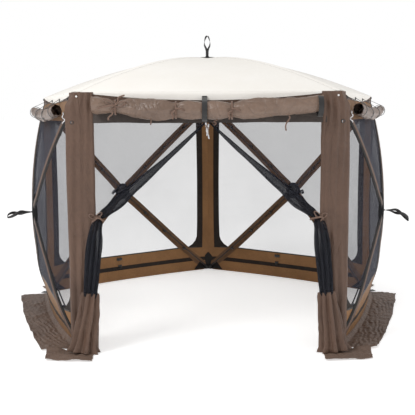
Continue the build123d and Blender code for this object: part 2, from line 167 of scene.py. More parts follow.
class Nodes:
    """Short calls for building one material."""

    def __init__(self, name):
        self.material = bpy.data.materials.new(name)
        self.material.use_nodes = True
        self.tree = self.material.node_tree
        self.tree.nodes.clear()
        self.out = self.tree.nodes.new("ShaderNodeOutputMaterial")
        self.shader = self.tree.nodes.new("ShaderNodeBsdfPrincipled")
        self.link(self.shader.outputs[0], self.out.inputs["Surface"])
        self.coords = self.tree.nodes.new("ShaderNodeTexCoord")

    def link(self, a, b):
        self.tree.links.new(a, b)

    def put(self, socket, value):
        if isinstance(value, bpy.types.NodeSocket):
            self.link(value, socket)
        elif value is not None:
            socket.default_value = value

    def math(self, op, a, b=0.0, clamp=False):
        n = self.tree.nodes.new("ShaderNodeMath")
        n.operation = op
        n.use_clamp = clamp
        self.put(n.inputs[0], a)
        self.put(n.inputs[1], b)
        return n.outputs[0]

    def times(self, a, b, clamp=False):
        return self.math("MULTIPLY", a, b, clamp)

    def plus(self, a, b):
        return self.math("ADD", a, b)

    def minus(self, a, b):
        return self.math("SUBTRACT", a, b)

    def mapped(self, source, scale):
        n = self.tree.nodes.new("ShaderNodeMapping")
        n.inputs["Scale"].default_value = scale
        self.link(self.coords.outputs[source], n.inputs["Vector"])
        return n.outputs[0]

    def noise(self, scale, detail, rough=0.55, stretch=(1, 1, 1), distortion=0.0):
        n = self.tree.nodes.new("ShaderNodeTexNoise")
        settings = {"Scale": scale, "Detail": detail, "Roughness": rough, "Distortion": distortion}
        for socket, value in settings.items():
            n.inputs[socket].default_value = value
        self.link(self.mapped("Object", stretch), n.inputs["Vector"])
        return n.outputs["Fac"]

    def ridges(self, scale, distortion, stretch):
        """Sharp-crested creases, from 0 in the crease to 1 between creases."""
        swing = self.math("ABSOLUTE", self.minus(self.noise(scale, 3.0, 0.55, stretch, distortion), 0.5))
        return self.math("POWER", self.math("MINIMUM", self.times(swing, 6.0), 1.0), 0.6)

    def wave(self, pitch, axis, distortion=0.0):
        n = self.tree.nodes.new("ShaderNodeTexWave")
        n.bands_direction = axis
        n.inputs["Scale"].default_value = 1.0
        n.inputs["Distortion"].default_value = distortion
        self.link(self.mapped("UV", (pi / (10 * pitch),) * 3), n.inputs["Vector"])
        return n.outputs["Fac"]

    def ramp(self, value, low, high, a, b):
        n = self.tree.nodes.new("ShaderNodeValToRGB")
        n.color_ramp.elements[0].position = low
        n.color_ramp.elements[0].color = a
        n.color_ramp.elements[1].position = high
        n.color_ramp.elements[1].color = b
        self.link(value, n.inputs["Fac"])
        return n.outputs["Color"]

    def blend(self, a, b, factor):
        n = self.tree.nodes.new("ShaderNodeMix")
        n.data_type = "RGBA"
        self.put(n.inputs["Factor"], factor)
        self.put(n.inputs[6], a)
        self.put(n.inputs[7], b)
        return n.outputs[2]

    def bump(self, height, distance, strength=1.0, normal=None):
        n = self.tree.nodes.new("ShaderNodeBump")
        n.inputs["Distance"].default_value = distance
        n.inputs["Strength"].default_value = strength
        self.link(height, n.inputs["Height"])
        if normal is not None:
            self.link(normal, n.inputs["Normal"])
        return n.outputs["Normal"]


def woven(name, light, dark, rough, gloss, crease, scale, drawn=(1, 1, 1), stitches=(), crease_shade=0.3):
    """Plain woven cloth: two thread directions, long creases with painted shade in their hollows, worn tone
    and optional stitch rows.
    """
    m = Nodes(name)
    tone = m.ramp(m.noise(2.6, 5.0), 0.34, 0.66, dark, light)
    fine = m.noise(46.0, 3.0)
    colour = m.blend(tone, m.ramp(fine, 0.3, 0.7, dark, light), 0.30)
    threads = m.times(m.wave(0.0011, "X"), m.wave(0.0011, "Y"))
    colour = m.blend(colour, m.ramp(threads, 0.0, 1.0, dark, light), 0.22)
    folds = m.ridges(scale, 1.0, drawn)
    small = m.ridges(scale * 2.7, 1.8, drawn)
    # painted shade: in the crease hollows the colour darkens towards 0.62 of the dark tone, as far as
    # crease_shade says
    shade = scaled(dark, 0.62)
    crease_shade_mask = m.times(m.math("POWER", m.minus(1.0, folds), 6.0), crease_shade)
    colour = m.blend(colour, shade, crease_shade_mask)
    normal = m.bump(folds, crease, 0.9)
    normal = m.bump(small, crease * 0.35, 0.8, normal)
    normal = m.bump(threads, 0.0003, 0.35, normal)
    if stitches:
        split = m.tree.nodes.new("ShaderNodeSeparateXYZ")
        m.link(m.coords.outputs["UV"], split.inputs[0])
        dash = m.math("GREATER_THAN", m.wave(0.005, "X"), 0.35)
        rows = None
        for at in stitches:
            gap = m.math("ABSOLUTE", m.minus(split.outputs["Y"], at))
            row = m.math("LESS_THAN", gap, 0.0009)
            rows = row if rows is None else m.math("MAXIMUM", rows, row)
        sewn = m.times(rows, dash)
        colour = m.blend(colour, scaled(dark, 0.5), sewn)
        normal = m.bump(sewn, 0.0006, 0.6, normal)
    m.link(colour, m.shader.inputs["Base Color"])
    m.link(normal, m.shader.inputs["Normal"])
    m.link(m.plus(m.times(fine, 0.16), rough - 0.08), m.shader.inputs["Roughness"])
    m.shader.inputs["Specular IOR Level"].default_value = gloss
    m.shader.inputs["Sheen Weight"].default_value = 0.04
    m.shader.inputs["Sheen Roughness"].default_value = 0.4
    return m.material


def insect_mesh(name, cover, colour, weave=0.55):
    """See-through mesh: fine crossed threads that close up where the sheet is seen at a slant."""
    m = Nodes(name)
    threads = m.math("MAXIMUM", m.wave(0.0017, "X"), m.wave(0.0017, "Y"))
    thin = m.tree.nodes.new("ShaderNodeLayerWeight")
    thin.inputs["Blend"].default_value = 0.5
    straight = m.minus(1.0, thin.outputs["Facing"])
    slant = m.math("DIVIDE", 1.0, m.math("MAXIMUM", straight, 0.06))
    over = m.minus(slant, 1.0)
    layers = m.plus(m.times(over, m.plus(m.times(over, 0.173), 0.19)), 1.0)
    base = m.minus(1.0, m.math("POWER", 1.0 - cover, layers))
    patches = m.plus(m.times(m.noise(1.4, 3.0), 0.5), 0.75)
    grain = m.plus(m.times(threads, weave), 1.0 - 0.75 * weave)
    alpha = m.times(m.times(base, patches), grain, clamp=True)
    bright = scaled(colour, 1.5)
    m.link(m.blend(colour, bright, threads), m.shader.inputs["Base Color"])
    m.link(alpha, m.shader.inputs["Alpha"])
    m.link(m.bump(threads, 0.0003, 0.4), m.shader.inputs["Normal"])
    m.shader.inputs["Roughness"].default_value = 0.7
    m.shader.inputs["Specular IOR Level"].default_value = 0.12
    return m.material


def webbing(name, colour, pitch=0.0024):
    """Woven tape: ribs across and selvedges along, slightly glossy polyester."""
    m = Nodes(name)
    ribs = m.wave(pitch, "X", distortion=0.6)
    weft = m.wave(0.0016, "Y")
    both = m.times(ribs, m.plus(m.times(weft, 0.5), 0.5))
    bright = scaled(colour, 2.6, 0.006)
    tone = m.ramp(both, 0.1, 0.9, colour, bright)
    m.link(m.blend(tone, bright, m.times(m.noise(60.0, 3.0), 0.3)), m.shader.inputs["Base Color"])
    m.link(m.bump(both, 0.0005, 0.7), m.shader.inputs["Normal"])
    m.shader.inputs["Roughness"].default_value = 0.55
    m.shader.inputs["Sheen Weight"].default_value = 0.15
    return m.material


def moulded(name, colour, rough=0.45, grain=420.0):
    """Moulded plastic with a fine spark texture and scuffed tone."""
    m = Nodes(name)
    scuff = m.noise(24.0, 6.0, 0.6)
    bright = scaled(colour, 1.7, 0.01)
    m.link(m.ramp(scuff, 0.45, 0.8, colour, bright), m.shader.inputs["Base Color"])
    m.link(m.bump(m.noise(grain, 2.0), 0.0002, 0.5), m.shader.inputs["Normal"])
    m.link(m.plus(m.times(scuff, 0.25), rough - 0.1), m.shader.inputs["Roughness"])
    return m.material


def metal(name, colour, rough=0.28):
    """Plated steel with fine brushing."""
    m = Nodes(name)
    brush = m.noise(90.0, 4.0, 0.6, stretch=(1, 1, 14))
    m.link(m.ramp(brush, 0.3, 0.8, scaled(colour, 0.8), colour), m.shader.inputs["Base Color"])
    m.link(m.plus(m.times(brush, 0.2), rough - 0.05), m.shader.inputs["Roughness"])
    m.link(m.bump(brush, 0.0001, 0.4), m.shader.inputs["Normal"])
    m.shader.inputs["Metallic"].default_value = 1.0
    return m.material


UPRIGHT = (1, 0.32, 1)
CREAM = woven(
    "cream_roof_cloth", linear(248, 245, 240), linear(243, 239, 232), 0.62, 0.12, 0.0005, 1.3, crease_shade=0.0,
)
CREAM_SEAM = woven(
    "cream_seam_cloth", linear(248, 245, 240), linear(242, 238, 231), 0.62, 0.12, 0.0005, 4.0,
    stitches=(-0.036, -0.030, 0.030, 0.036), crease_shade=0.0,
)
BROWN = woven(
    "brown_cloth", linear(106, 82, 68), linear(84, 64, 53), 0.50, 0.35, 0.0042, 7.0, UPRIGHT, crease_shade=0.24,
)
# painted light: the band's brown, made lighter and more orange with daylight shining through the cloth
# painted in, as its room side shows it
BROWN_BAND_PAINTED_BACKLIGHT = woven(
    "brown_band_cloth", linear(150, 110, 72), linear(122, 89, 58), 0.55, 0.2, 0.003, 5.0, crease_shade=0.2,
)
BROWN_DARK = woven("dark_brown_cloth", linear(46, 37, 31), linear(30, 24, 20), 0.58, 0.2, 0.003, 9.0)
BLACK_CLOTH = woven("black_cloth", linear(34, 31, 30), linear(23, 21, 20), 0.6, 0.2, 0.002, 9.0)
# painted shadow: this dark strip colour stands partly for the roll's shade on the lower edge of the front
# band
HEADER_AND_ROLL_SHADOW = woven("header_cloth_and_roll_shadow", linear(82, 74, 70), linear(60, 54, 51), 0.55, 0.2, 0.003, 6.0)
# painted light: the sleeve's room side is a lighter orange brown that stands for daylight shining through the
# cloth
BROWN_SLEEVE_PAINTED_BACKLIGHT = woven(
    "brown_sleeve_cloth", linear(118, 88, 64), linear(90, 67, 48), 0.55, 0.25, 0.002, 16.0,
    stitches=(-0.038, -0.012, 0.012, 0.038), crease_shade=0.2,
)
SKIRT = woven("skirt_cloth", linear(120, 99, 86), linear(88, 71, 61), 0.5, 0.3, 0.004, 6.0, crease_shade=0.15)
SATIN = woven("roll_cloth", linear(134, 110, 94), linear(100, 80, 67), 0.36, 0.6, 0.005, 4.5, crease_shade=0.25)
PATCH = woven("patch_cloth", linear(34, 34, 35), linear(24, 24, 25), 0.8, 0.0, 0.0008, 30.0)
BINDING_BLACK = webbing("black_binding", linear(26, 24, 23))
WEBBING_BLACK = webbing("black_webbing", linear(24, 23, 23))
TAPE_BROWN = webbing("brown_tape", linear(84, 63, 51), 0.0018)
MESH = insect_mesh("insect_mesh", 0.31, linear(44, 45, 54))
# gathered folds: a denser cover for the many layers, and a darker, greyer thread colour than the mesh as
# painted shade inside the folds
MESH_FOLDS_SHADED = insect_mesh("insect_mesh_folds_shaded", 0.80, linear(30, 31, 36), 0.25)
ROD_BLACK = moulded("glass_fibre_rod", linear(24, 22, 22), 0.35, 900.0)
PLASTIC = moulded("black_moulding", linear(26, 26, 27), 0.5)
STEEL = metal("plated_steel", (0.78, 0.78, 0.80, 1.0))
RIVET_WHITE = moulded("white_rivet", linear(226, 224, 220), 0.4)


# ---------------------------------------------------------------- building
def add_object(name, verts, faces, uvs, materials, index=None, matrix=None):
    """A mesh object from plain lists; uvs are per vertex, in metres of cloth."""
    data = bpy.data.meshes.new(name)
    data.from_pydata([tuple(v) for v in verts], [], faces)
    layer = data.uv_layers.new(name="UVMap")
    for loop in data.loops:
        layer.data[loop.index].uv = uvs[loop.vertex_index]
    for material in materials:
        data.materials.append(material)
    for k, polygon in enumerate(data.polygons):
        polygon.use_smooth = True
        if index:
            polygon.material_index = index[k]
    data.update()
    return link_object(name, data, matrix)


def link_object(name, data, matrix=None):
    """A new object in the scene, for a mesh, a light or the camera."""
    obj = bpy.data.objects.new(name, data)
    bpy.context.scene.collection.objects.link(obj)
    if matrix is not None:
        obj.matrix_world = matrix
    return obj


SHARED = {}


def shared(key, name, matrix, build):
    """A piece whose mesh is built once, by build(name, matrix), and used again by its twins."""
    if key in SHARED:
        return link_object(name, SHARED[key], matrix)
    obj = build(name, matrix)
    SHARED[key] = obj.data
    return obj


def shared_sheet(key, name, matrix, shape, materials, index=None):
    """The same for one sheet, whose shape() is worked out once."""
    return shared(key, name, matrix, lambda n, m: add_object(n, *shape(), materials, index, m))


def grid(nu, nv, place, uv):
    """Vertices, faces and uvs of a sheet given by place(u, v) and its flat size uv(u, v)."""
    verts = [place(i / nu, j / nv) for i in range(nu + 1) for j in range(nv + 1)]
    uvs = [uv(i / nu, j / nv) for i in range(nu + 1) for j in range(nv + 1)]
    faces = []
    for i in range(nu):
        for j in range(nv):
            a = i * (nv + 1) + j
            faces.append((a, a + nv + 1, a + nv + 2, a + 1))
    return verts, faces, uvs


class Parts:
    """Collects several shapes with their own materials into one mesh."""

    def __init__(self):
        self.verts, self.faces, self.uvs, self.index, self.materials = [], [], [], [], []

    def add(self, shape, material):
        verts, faces, uvs = shape
        if material not in self.materials:
            self.materials.append(material)
        k, base = self.materials.index(material), len(self.verts)
        self.verts += verts
        self.uvs += uvs
        self.faces += [tuple(base + v for v in f) for f in faces]
        self.index += [k] * len(faces)
        return self

    def make(self, name, matrix=None):
        return add_object(name, self.verts, self.faces, self.uvs, self.materials, self.index, matrix)


def frames_along(points, hint):
    """A tangent, side and up direction at each point of a line."""
    found = []
    for k, p in enumerate(points):
        tangent = (points[min(k + 1, len(points) - 1)] - points[max(k - 1, 0)]).normalized()
        side = tangent.cross(hint).normalized()
        found.append((p, side, side.cross(tangent).normalized()))
    return found


def tube(points, radii, sides=12, hint=UP, shape=None):
    """A tube along points; shape(k, angle) scales the radius to fold or flatten it."""
    verts, faces, uvs, run = [], [], [], 0.0
    frames = frames_along(points, hint)
    for k, (p, side, up) in enumerate(frames):
        if k:
            run += (points[k] - points[k - 1]).length
        for s in range(sides):
            a = 2 * pi * s / sides
            r = radii[k] if not isinstance(radii, float) else radii
            sx, sy = (1.0, 1.0) if shape is None else shape(k / (len(points) - 1), a)
            verts.append(p + side * (cos(a) * r * sx) + up * (sin(a) * r * sy))
            uvs.append((run, a * r))
    n = len(points)
    for k in range(n - 1):
        for s in range(sides):
            a, b = k * sides + s, k * sides + (s + 1) % sides
            faces.append((a, a + sides, b + sides, b))
    faces.append(tuple(range(sides)))
    faces.append(tuple(range((n - 1) * sides, n * sides))[::-1])
    return verts, faces, uvs


def ribbon(points, normals, width, thick=0.0016):
    """A flat tape of some width whose face looks along normals."""
    verts, faces, uvs, run = [], [], [], 0.0
    n = len(points)
    for k, p in enumerate(points):
        tangent = (points[min(k + 1, n - 1)] - points[max(k - 1, 0)]).normalized()
        face = normals[k].normalized()
        side = tangent.cross(face).normalized()
        if k:
            run += (points[k] - points[k - 1]).length
        for s, t in ((-1, -1), (1, -1), (1, 1), (-1, 1)):
            verts.append(p + side * (s * width / 2) + face * (t * thick / 2))
            uvs.append((run, s * width / 2))
    for k in range(n - 1):
        for s in range(4):
            a, b = k * 4 + s, k * 4 + (s + 1) % 4
            faces.append((a, b, b + 4, a + 4))
    faces += [(0, 3, 2, 1), (n * 4 - 4, n * 4 - 3, n * 4 - 2, n * 4 - 1)]
    return verts, faces, uvs


def lathe(profile, matrix, segments=32):
    """A turned shape from (radius, height) pairs about a matrix's z axis."""
    verts, faces, uvs = [], [], []
    for r, h in profile:
        for s in range(segments):
            a = 2 * pi * s / segments
            verts.append(matrix @ vec(cos(a) * r, sin(a) * r, h))
            uvs.append((a * max(r, 0.001), r + h))
    for k in range(len(profile) - 1):
        for s in range(segments):
            a, b = k * segments + s, k * segments + (s + 1) % segments
            faces.append((a, b, b + segments, a + segments))
    faces.append(tuple(range(segments))[::-1])
    faces.append(tuple(range((len(profile) - 1) * segments, len(profile) * segments)))
    return verts, faces, uvs


def ring(radius, thick, matrix, around=28, sides=10):
    """A torus about a matrix's z axis."""
    verts, faces, uvs = [], [], []
    for i in range(around):
        a = 2 * pi * i / around
        for j in range(sides):
            b = 2 * pi * j / sides
            r = radius + thick * cos(b)
            verts.append(matrix @ vec(r * cos(a), r * sin(a), thick * sin(b)))
            uvs.append((a * radius, b * thick))
    for i in range(around):
        for j in range(sides):
            p, q = i * sides + j, i * sides + (j + 1) % sides
            r, s = ((i + 1) % around) * sides + j, ((i + 1) % around) * sides + (j + 1) % sides
            faces.append((p, r, s, q))
    return verts, faces, uvs


def flat_facts(obj):
    """The flat size and area of a sheet, from its uvs, which are in metres of cloth."""
    data = obj.data
    layer = data.uv_layers["UVMap"].data
    us = [u.uv.x for u in layer]
    vs = [u.uv.y for u in layer]
    area = 0.0
    for polygon in data.polygons:
        pts = [layer[i].uv for i in polygon.loop_indices]
        area += abs(sum(a.x * b.y - b.x * a.y for a, b in zip(pts, pts[1:] + pts[:1]))) / 2
    return (max(us) - min(us), max(vs) - min(vs)), area


def cloth(obj, body, replaces=()):
    """Works out a sheet's flat size and area, puts it under its body and hides the CAD nodes it stands for.
    """
    (width, length), area = flat_facts(obj)
    full = width * length
    cut = min(full, max(area, 0.301 * full))
    return part(obj, body, replaces)


def part(obj, body, replaces=()):
    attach(obj, body)
    if replaces:
        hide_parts(*replaces)
    return obj


# ---------------------------------------------------------------- walls
def wall_share(x, y):
    """How far a wall point is from the nearest edge, as a share of the way to the hub."""
    return min((SIDE_HALF - abs(x)) / SIDE_HALF, (HALF_HEIGHT - abs(y - HUB_Z)) / HALF_HEIGHT)


def foot_bulge(x, y):
    """The loose outward curve of a wall's lower edge."""
    return FOOT_BULGE * max(0.0, 1 - (x / SIDE_HALF) ** 2) * smooth((0.60 - y) / 0.60)


def ridge_share(x, y, u):
    """1 on the ridges over the rods, 0 on the line half way between two of them."""
    return min(1.0, min(abs(x) / SIDE_HALF, abs(y - HUB_Z) / HALF_HEIGHT) / max(1e-6, 1 - u))


def wall_out(x, y):
    """The rods bow outward; the cloth between them is pulled straight from the hub to the edge."""
    u = max(0.0, wall_share(x, y))
    bowed = mix(ridge_share(x, y, u) ** 2, 1.0, smooth((u - 0.79) / 0.12))
    return OFFSET + RIDGE * u + 4 * BOW * u * (1 - u) * bowed + foot_bulge(x, y)


def wall_skin(x, y):
    """The wall's cloth surface with its soft waves and the puckers along the hems."""
    u = max(0.0, wall_share(x, y))
    waves = 0.0035 * fbm(x * 2.2, y * 2.2, 3.0) * min(1.0, u * 6)
    low = smooth((0.30 - y) / 0.2)
    pucker = 0.004 * low * fbm(x * 9, y * 3, 7.0)
    return vec(x, y, wall_out(x, y) + waves + pucker * min(1.0, u * 12))


PLACES = {
    "top": (lambda a, b: (a, WALL_TOP - b), SIDE_HALF, HALF_HEIGHT),
    "bottom": (lambda a, b: (a, WALL_FOOT + b), SIDE_HALF, HALF_HEIGHT),
    "left": (lambda a, b: (-SIDE_HALF + b, HUB_Z + a), HALF_HEIGHT, SIDE_HALF),
    "right": (lambda a, b: (SIDE_HALF - b, HUB_Z + a), HALF_HEIGHT, SIDE_HALF),
}
PANEL_ROWS, PANEL_COLUMNS, PANEL_TIP = 44, 40, 0.925


def flat_triangle(place):
    """A bmesh of one panel's triangle, flat, in the wall's x and y."""
    to_wall, half, depth = PLACES[place]
    bm = bmesh.new()
    rows = []
    for i in range(PANEL_ROWS + 1):
        v = PANEL_TIP * i / PANEL_ROWS
        width = max(0.002, half * (1 - v) - WALL_GAP)
        row = []
        for j in range(PANEL_COLUMNS + 1):
            x, y = to_wall(width * (2 * j / PANEL_COLUMNS - 1), depth * v)
            row.append(bm.verts.new((x, y, 0)))
        rows.append(row)
    for i in range(PANEL_ROWS):
        for j in range(PANEL_COLUMNS):
            bm.faces.new((rows[i][j], rows[i][j + 1], rows[i + 1][j + 1], rows[i + 1][j]))
    bmesh.ops.recalc_face_normals(bm, faces=bm.faces)
    if sum(f.normal.z for f in bm.faces) < 0:
        bmesh.ops.reverse_faces(bm, faces=bm.faces)
    return bm


def cut_lines(bm, lines):
    for point, normal in lines:
        everything = bm.verts[:] + bm.edges[:] + bm.faces[:]
        bmesh.ops.bisect_plane(bm, geom=everything, dist=1e-5, plane_co=point, plane_no=normal)


GUSSET = 0.150
GUSSET_TURNS = [radians(a) for a in (18, 36, 54, 72)]


def past_gusset(x, foot):
    """True in the rounded corner between a side column and the bottom band."""
    a, b = SIDE_HALF - COLUMN - GUSSET, FOOT_BAND + GUSSET
    return any((abs(x) - a) * sin(t) + (b - foot) * cos(t) > GUSSET for t in GUSSET_TURNS)


def wall_region(x, y):
    """0 mesh, 1 band cloth, 2 dark cloth, 3 black binding."""
    foot = y - WALL_FOOT
    if y > BAND_LINE:
        return 1
    if foot < FOOT_BAND:
        return 2 if STRIPE[0] < foot < STRIPE[1] else 1
    if abs(x) > SIDE_HALF - COLUMN_BROWN:
        return 1
    if abs(x) > SIDE_HALF - COLUMN:
        return 2
    if foot < FOOT_BAND + BINDING:
        return 3
    low = foot < FOOT_BAND + GUSSET and abs(x) > SIDE_HALF - COLUMN - GUSSET
    return 2 if low and past_gusset(x, foot) else 0


WALL_CUTS = [((s * (SIDE_HALF - d), 0, 0), (1, 0, 0)) for s in (-1, 1) for d in (COLUMN, COLUMN_BROWN)]
FOOT_LINE = WALL_FOOT + FOOT_BAND
WALL_CUTS += [((0, y, 0), (0, 1, 0)) for y in (BAND_LINE, FOOT_LINE, FOOT_LINE + BINDING)]
WALL_CUTS += [((0, WALL_FOOT + y, 0), (0, 1, 0)) for y in STRIPE]
for sign in (-1, 1):
    for t in GUSSET_TURNS:
        gusset_middle = vec(sign * (SIDE_HALF - COLUMN - GUSSET), WALL_FOOT + FOOT_BAND + GUSSET, 0)
        normal = vec(sign * sin(t), -cos(t), 0)
        WALL_CUTS.append((gusset_middle + normal * GUSSET, normal))


PANEL_KINDS = (("net", (0,), [MESH]), ("hem", (1, 2, 3), [BROWN_BAND_PAINTED_BACKLIGHT, BROWN_DARK, BINDING_BLACK]))


def panel_meshes(place):
    """The see-through part and the solid border of one panel, as two meshes in wall space."""
    made = []
    for name, wanted, materials in PANEL_KINDS:
        bm = flat_triangle(place)
        cut_lines(bm, WALL_CUTS)
        drop = [f for f in bm.faces if wall_region(*f.calc_center_median()[:2]) not in wanted]
        bmesh.ops.delete(bm, geom=drop, context="FACES")
        layer = bm.loops.layers.uv.new("UVMap")
        for f in bm.faces:
            region = wall_region(*f.calc_center_median()[:2])
            f.material_index = wanted.index(region)
            f.smooth = True
            for loop in f.loops:
                loop[layer].uv = loop.vert.co.xy
        for v in bm.verts:
            v.co = wall_skin(v.co.x, v.co.y)
        data = bpy.data.meshes.new(f"{name}_{place}")
        bm.to_mesh(data)
        bm.free()
        for material in materials:
            data.materials.append(material)
        made.append(data)
    return made


def tip_patch(place):
    """The black reinforcement sewn on the inner tip of one panel, beside the hub."""
    to_wall, half, depth = PLACES[place]
    near, reach = depth * (1 - PANEL_TIP) + 0.001, 0.152

    def spot(u, v):
        t = 2 * v - 1
        d = near + (reach - near) * sqrt(1 - 0.85 * t * t) * u
        return t * (d * half / depth - WALL_GAP + 0.003), d

    def lay(u, v):
        a, d = spot(u, v)
        x, y = to_wall(a, depth - d)
        return wall_skin(x, y) + vec(0, 0, 0.0014)

    return grid(10, 16, lay, spot)


def sleeve_shape(sx, sy):
    """The folded sleeve that hugs the ridge between two panels."""
    span = hypot(SIDE_HALF, HALF_HEIGHT)
    ux, uy = sx * SIDE_HALF / span, sy * HALF_HEIGHT / span
    start, end = span - 0.045, 0.078

    def place(u, v):
        r, s = mix(start, end, u), SLEEVE_HALF * (4 * v - 1 if v < 0.5 else 3 - 4 * v)
        x, y = ux * r - uy * s, HUB_Z + uy * r + ux * s
        face = 1 if v < 0.5 else -1
        lift = face * 0.0026 * smooth((SLEEVE_HALF - abs(s)) / 0.004)
        lift += 0.0008 * fbm(r * 24, s * 30, sx + 2 * sy)
        return vec(x, y, wall_out(x, y) + lift + 0.0006)

    return grid(SLEEVE_STEPS, 20, place, lambda u, v: (mix(0, start - end, u), SLEEVE_HALF * (4 * v - 1)))


def rod_shape(pin, tip, out, bow, cover):
    """One bowed rod between two pins with its ferrules, tongues and the tabs that tie it to the cloth."""
    chord = tip - pin
    length = chord.length
    along = chord / length
    lift = (out - along * out.dot(along)).normalized()
    side = along.cross(lift)
    parts = Parts()

    def at(d):
        return pin + along * d + lift * (4 * bow * d * (length - d) / length**2)

    run = [0.030 + (length - 0.085) * k / 48 for k in range(49)]
    parts.add(tube([at(d) for d in run], ROD, 12, lift), ROD_BLACK)
    for d0, d1 in ((0.015, 0.046), (length - 0.072, length - 0.040)):
        steps = [d0, d0 + 0.002, d1 - 0.002, d1]
        parts.add(tube([at(d) for d in steps], [0.0062, 0.0080, 0.0080, 0.0062], 16, lift), PLASTIC)
    for d0, d1 in ((-0.008, 0.018), (length - 0.042, length + 0.008)):
        steps = [mix(d0, d1, k / 6) for k in range(7)]
        radii = [0.0050, 0.0082, 0.0088, 0.0088, 0.0088, 0.0082, 0.0050]
        line = [pin + along * d + lift * (0.10 * max(0.0, min(d, length - d))) for d in steps]
        parts.add(tube(line, radii, 14, lift, lambda t, a: (0.45, 1.0)), PLASTIC)
    for k in range(1, ROD_TABS + 1):
        d = length * k / (ROD_TABS + 1)
        gap = max(0.004, cover(at(d)) - 0.0070)
        path = []
        for a in range(13):
            t = pi * (a / 12) - pi
            path.append(at(d) + side * (cos(t) * 0.0068) + lift * (sin(t) * 0.0068))
        path = [at(d) - side * 0.016 + lift * gap, at(d) - side * 0.0085 + lift * (gap * 0.45)] + path
        path += [at(d) + side * 0.0085 + lift * (gap * 0.45), at(d) + side * 0.016 + lift * gap]
        normals = []
        for q in path:
            away = q - at(d)
            normals.append(away if away.length < 0.008 else side * copysign(1.0, away.dot(side)))
        parts.add(ribbon(path, normals, 0.028, 0.0012), BINDING_BLACK)
    return parts


def wall_rod(sx, sy):
    """The rod from one corner of a wall to its hub."""
    share = WALL_PIN_RADIUS / hypot(*CORNER_PIN)
    pin = vec(sx * CORNER_PIN[0], HUB_Z + sy * CORNER_PIN[1], 0)
    tip = vec(sx * CORNER_PIN[0] * share, HUB_Z + sy * CORNER_PIN[1] * share, POP)
    return rod_shape(pin, tip, UP, BOW, lambda p: wall_out(p.x, p.y) - p.z)


PANEL_DATA = {place: panel_meshes(place) for place in PLACES}
SLEEVE_CLOTHS = [BROWN_SLEEVE_PAINTED_BACKLIGHT, BLACK_CLOTH, BROWN]
SLEEVE_ROW = [1, 1, 1, 2, 2, 2, 2, 1, 1, 1] + [0] * 10
for wall, degrees in WALLS.items():
    matrix = wall_matrix(degrees)
    for place, (net_mesh, hem_mesh) in PANEL_DATA.items():
        node = f"panel_{wall}_{place}"
        net = link_object(f"net_{wall}_{place}", net_mesh, matrix)
        cloth(net, node, [node])
        hem = link_object(f"hem_{wall}_{place}", hem_mesh, matrix)
        cloth(hem, node, [node])
        if wall.startswith("back"):
            continue
        name = f"tip_patch_{wall}_{place}"
        patch = shared_sheet(("tip_patch", place), name, matrix, lambda: tip_patch(place), [PATCH])
        cloth(patch, node)
    for corner, signs in POLE_CORNERS.items():
        node, name = f"pole_{wall}_{corner}", f"sleeve_{wall}_{corner}"
        key, rows = ("sleeve", corner), SLEEVE_ROW * SLEEVE_STEPS
        sleeve = shared_sheet(key, name, matrix, lambda: sleeve_shape(*signs), SLEEVE_CLOTHS, rows)
        name = f"rod_{wall}_{corner}"
        rod = shared(("rod", corner), name, matrix, lambda n, m: wall_rod(*signs).make(n, m))
        part(rod, node, [node])
        cloth(sleeve, node, [node])


# ---------------------------------------------------------------- roof
def roof_lift(u):
    """Height of the roof cloth over the eave at a share of the way in."""
    return ROOF_RISE * u + u * (1 - u) * (0.27 + 0.12 * u * u)


def roof_skin(x, y):
    u = min(1.0, max(0.0, y / APOTHEM))
    half = SIDE_HALF * (1 - u)
    middle = 0.0 if half < 1e-6 else max(0.0, 1 - (x / half) ** 2)
    sag = 0.016 * middle * u * (1 - u) * 4
    waves = 0.004 * fbm(x * 1.6, y * 1.6, 11.0) * middle
    return EAVE + roof_lift(u) - sag + waves


def roof_facet():
    """One gore of the roof, its long edges kept clear of the rods under the seam covers."""
    tip = 0.930

    def across_at(u, v):
        return max(0.003, SIDE_HALF * (1 - u * tip) - ROOF_GAP) * (2 * v - 1)

    def place(u, v):
        x, y = across_at(u, v), APOTHEM * tip * u
        return vec(x, y, roof_skin(x, y))

    return grid(64, 56, place, lambda u, v: (across_at(u, v), APOTHEM * tip * u * 1.035))


def roof_sleeve():
    """The seam cover over one roof ridge, in corner space."""
    start, end = ROOF_RADIUS - 0.012, 0.080

    def place(u, v):
        r, s = mix(start, end, u), mix(-SLEEVE_HALF, SLEEVE_HALF, v)
        inward = APOTHEM - (r * cos(HALF_ANGLE) + abs(s) * sin(HALF_ANGLE))
        x = copysign(r * sin(HALF_ANGLE) - abs(s) * cos(HALF_ANGLE), -s)
        z = roof_skin(x, max(0.0, inward))
        rise = 0.0004 + 0.0018 * smooth((SLEEVE_HALF - abs(s)) / 0.012)
        return vec(r, s, z + rise + 0.0004 * fbm(r * 18, s * 25, 5.0))

    def flat(u, v):
        return mix(0, (start - end) * 1.03, u), mix(-SLEEVE_HALF, SLEEVE_HALF, v)

    return grid(90, 10, place, flat)


for side, degrees in SIDES.items():
    node = f"roof_panel_{side}"
    gore = shared_sheet("gore", f"roof_gore_{side}", roof_matrix(degrees), roof_facet, [CREAM])
    cloth(gore, node, [node])

roof_rod = rod_shape(
    vec(ROOF_CORNER_PIN, 0, ROOF_HINGE_Z), vec(ROOF_PIN_RADIUS, 0, ROOF_HINGE_Z + ROOF_POP), UP, ROOF_BOW,
    lambda p: EAVE + roof_lift(1 - p.x / ROOF_RADIUS) - p.z,
)
for corner, degrees in CORNERS.items():
    node, matrix = f"roof_pole_{corner}", turn_matrix(degrees)
    seam = shared_sheet("seam", f"roof_seam_{corner}", matrix, roof_sleeve, [CREAM_SEAM])
    rod = shared("roof_rod", f"roof_rod_{corner}", matrix, roof_rod.make)
    part(rod, node, [node])
    cloth(seam, node, [node])


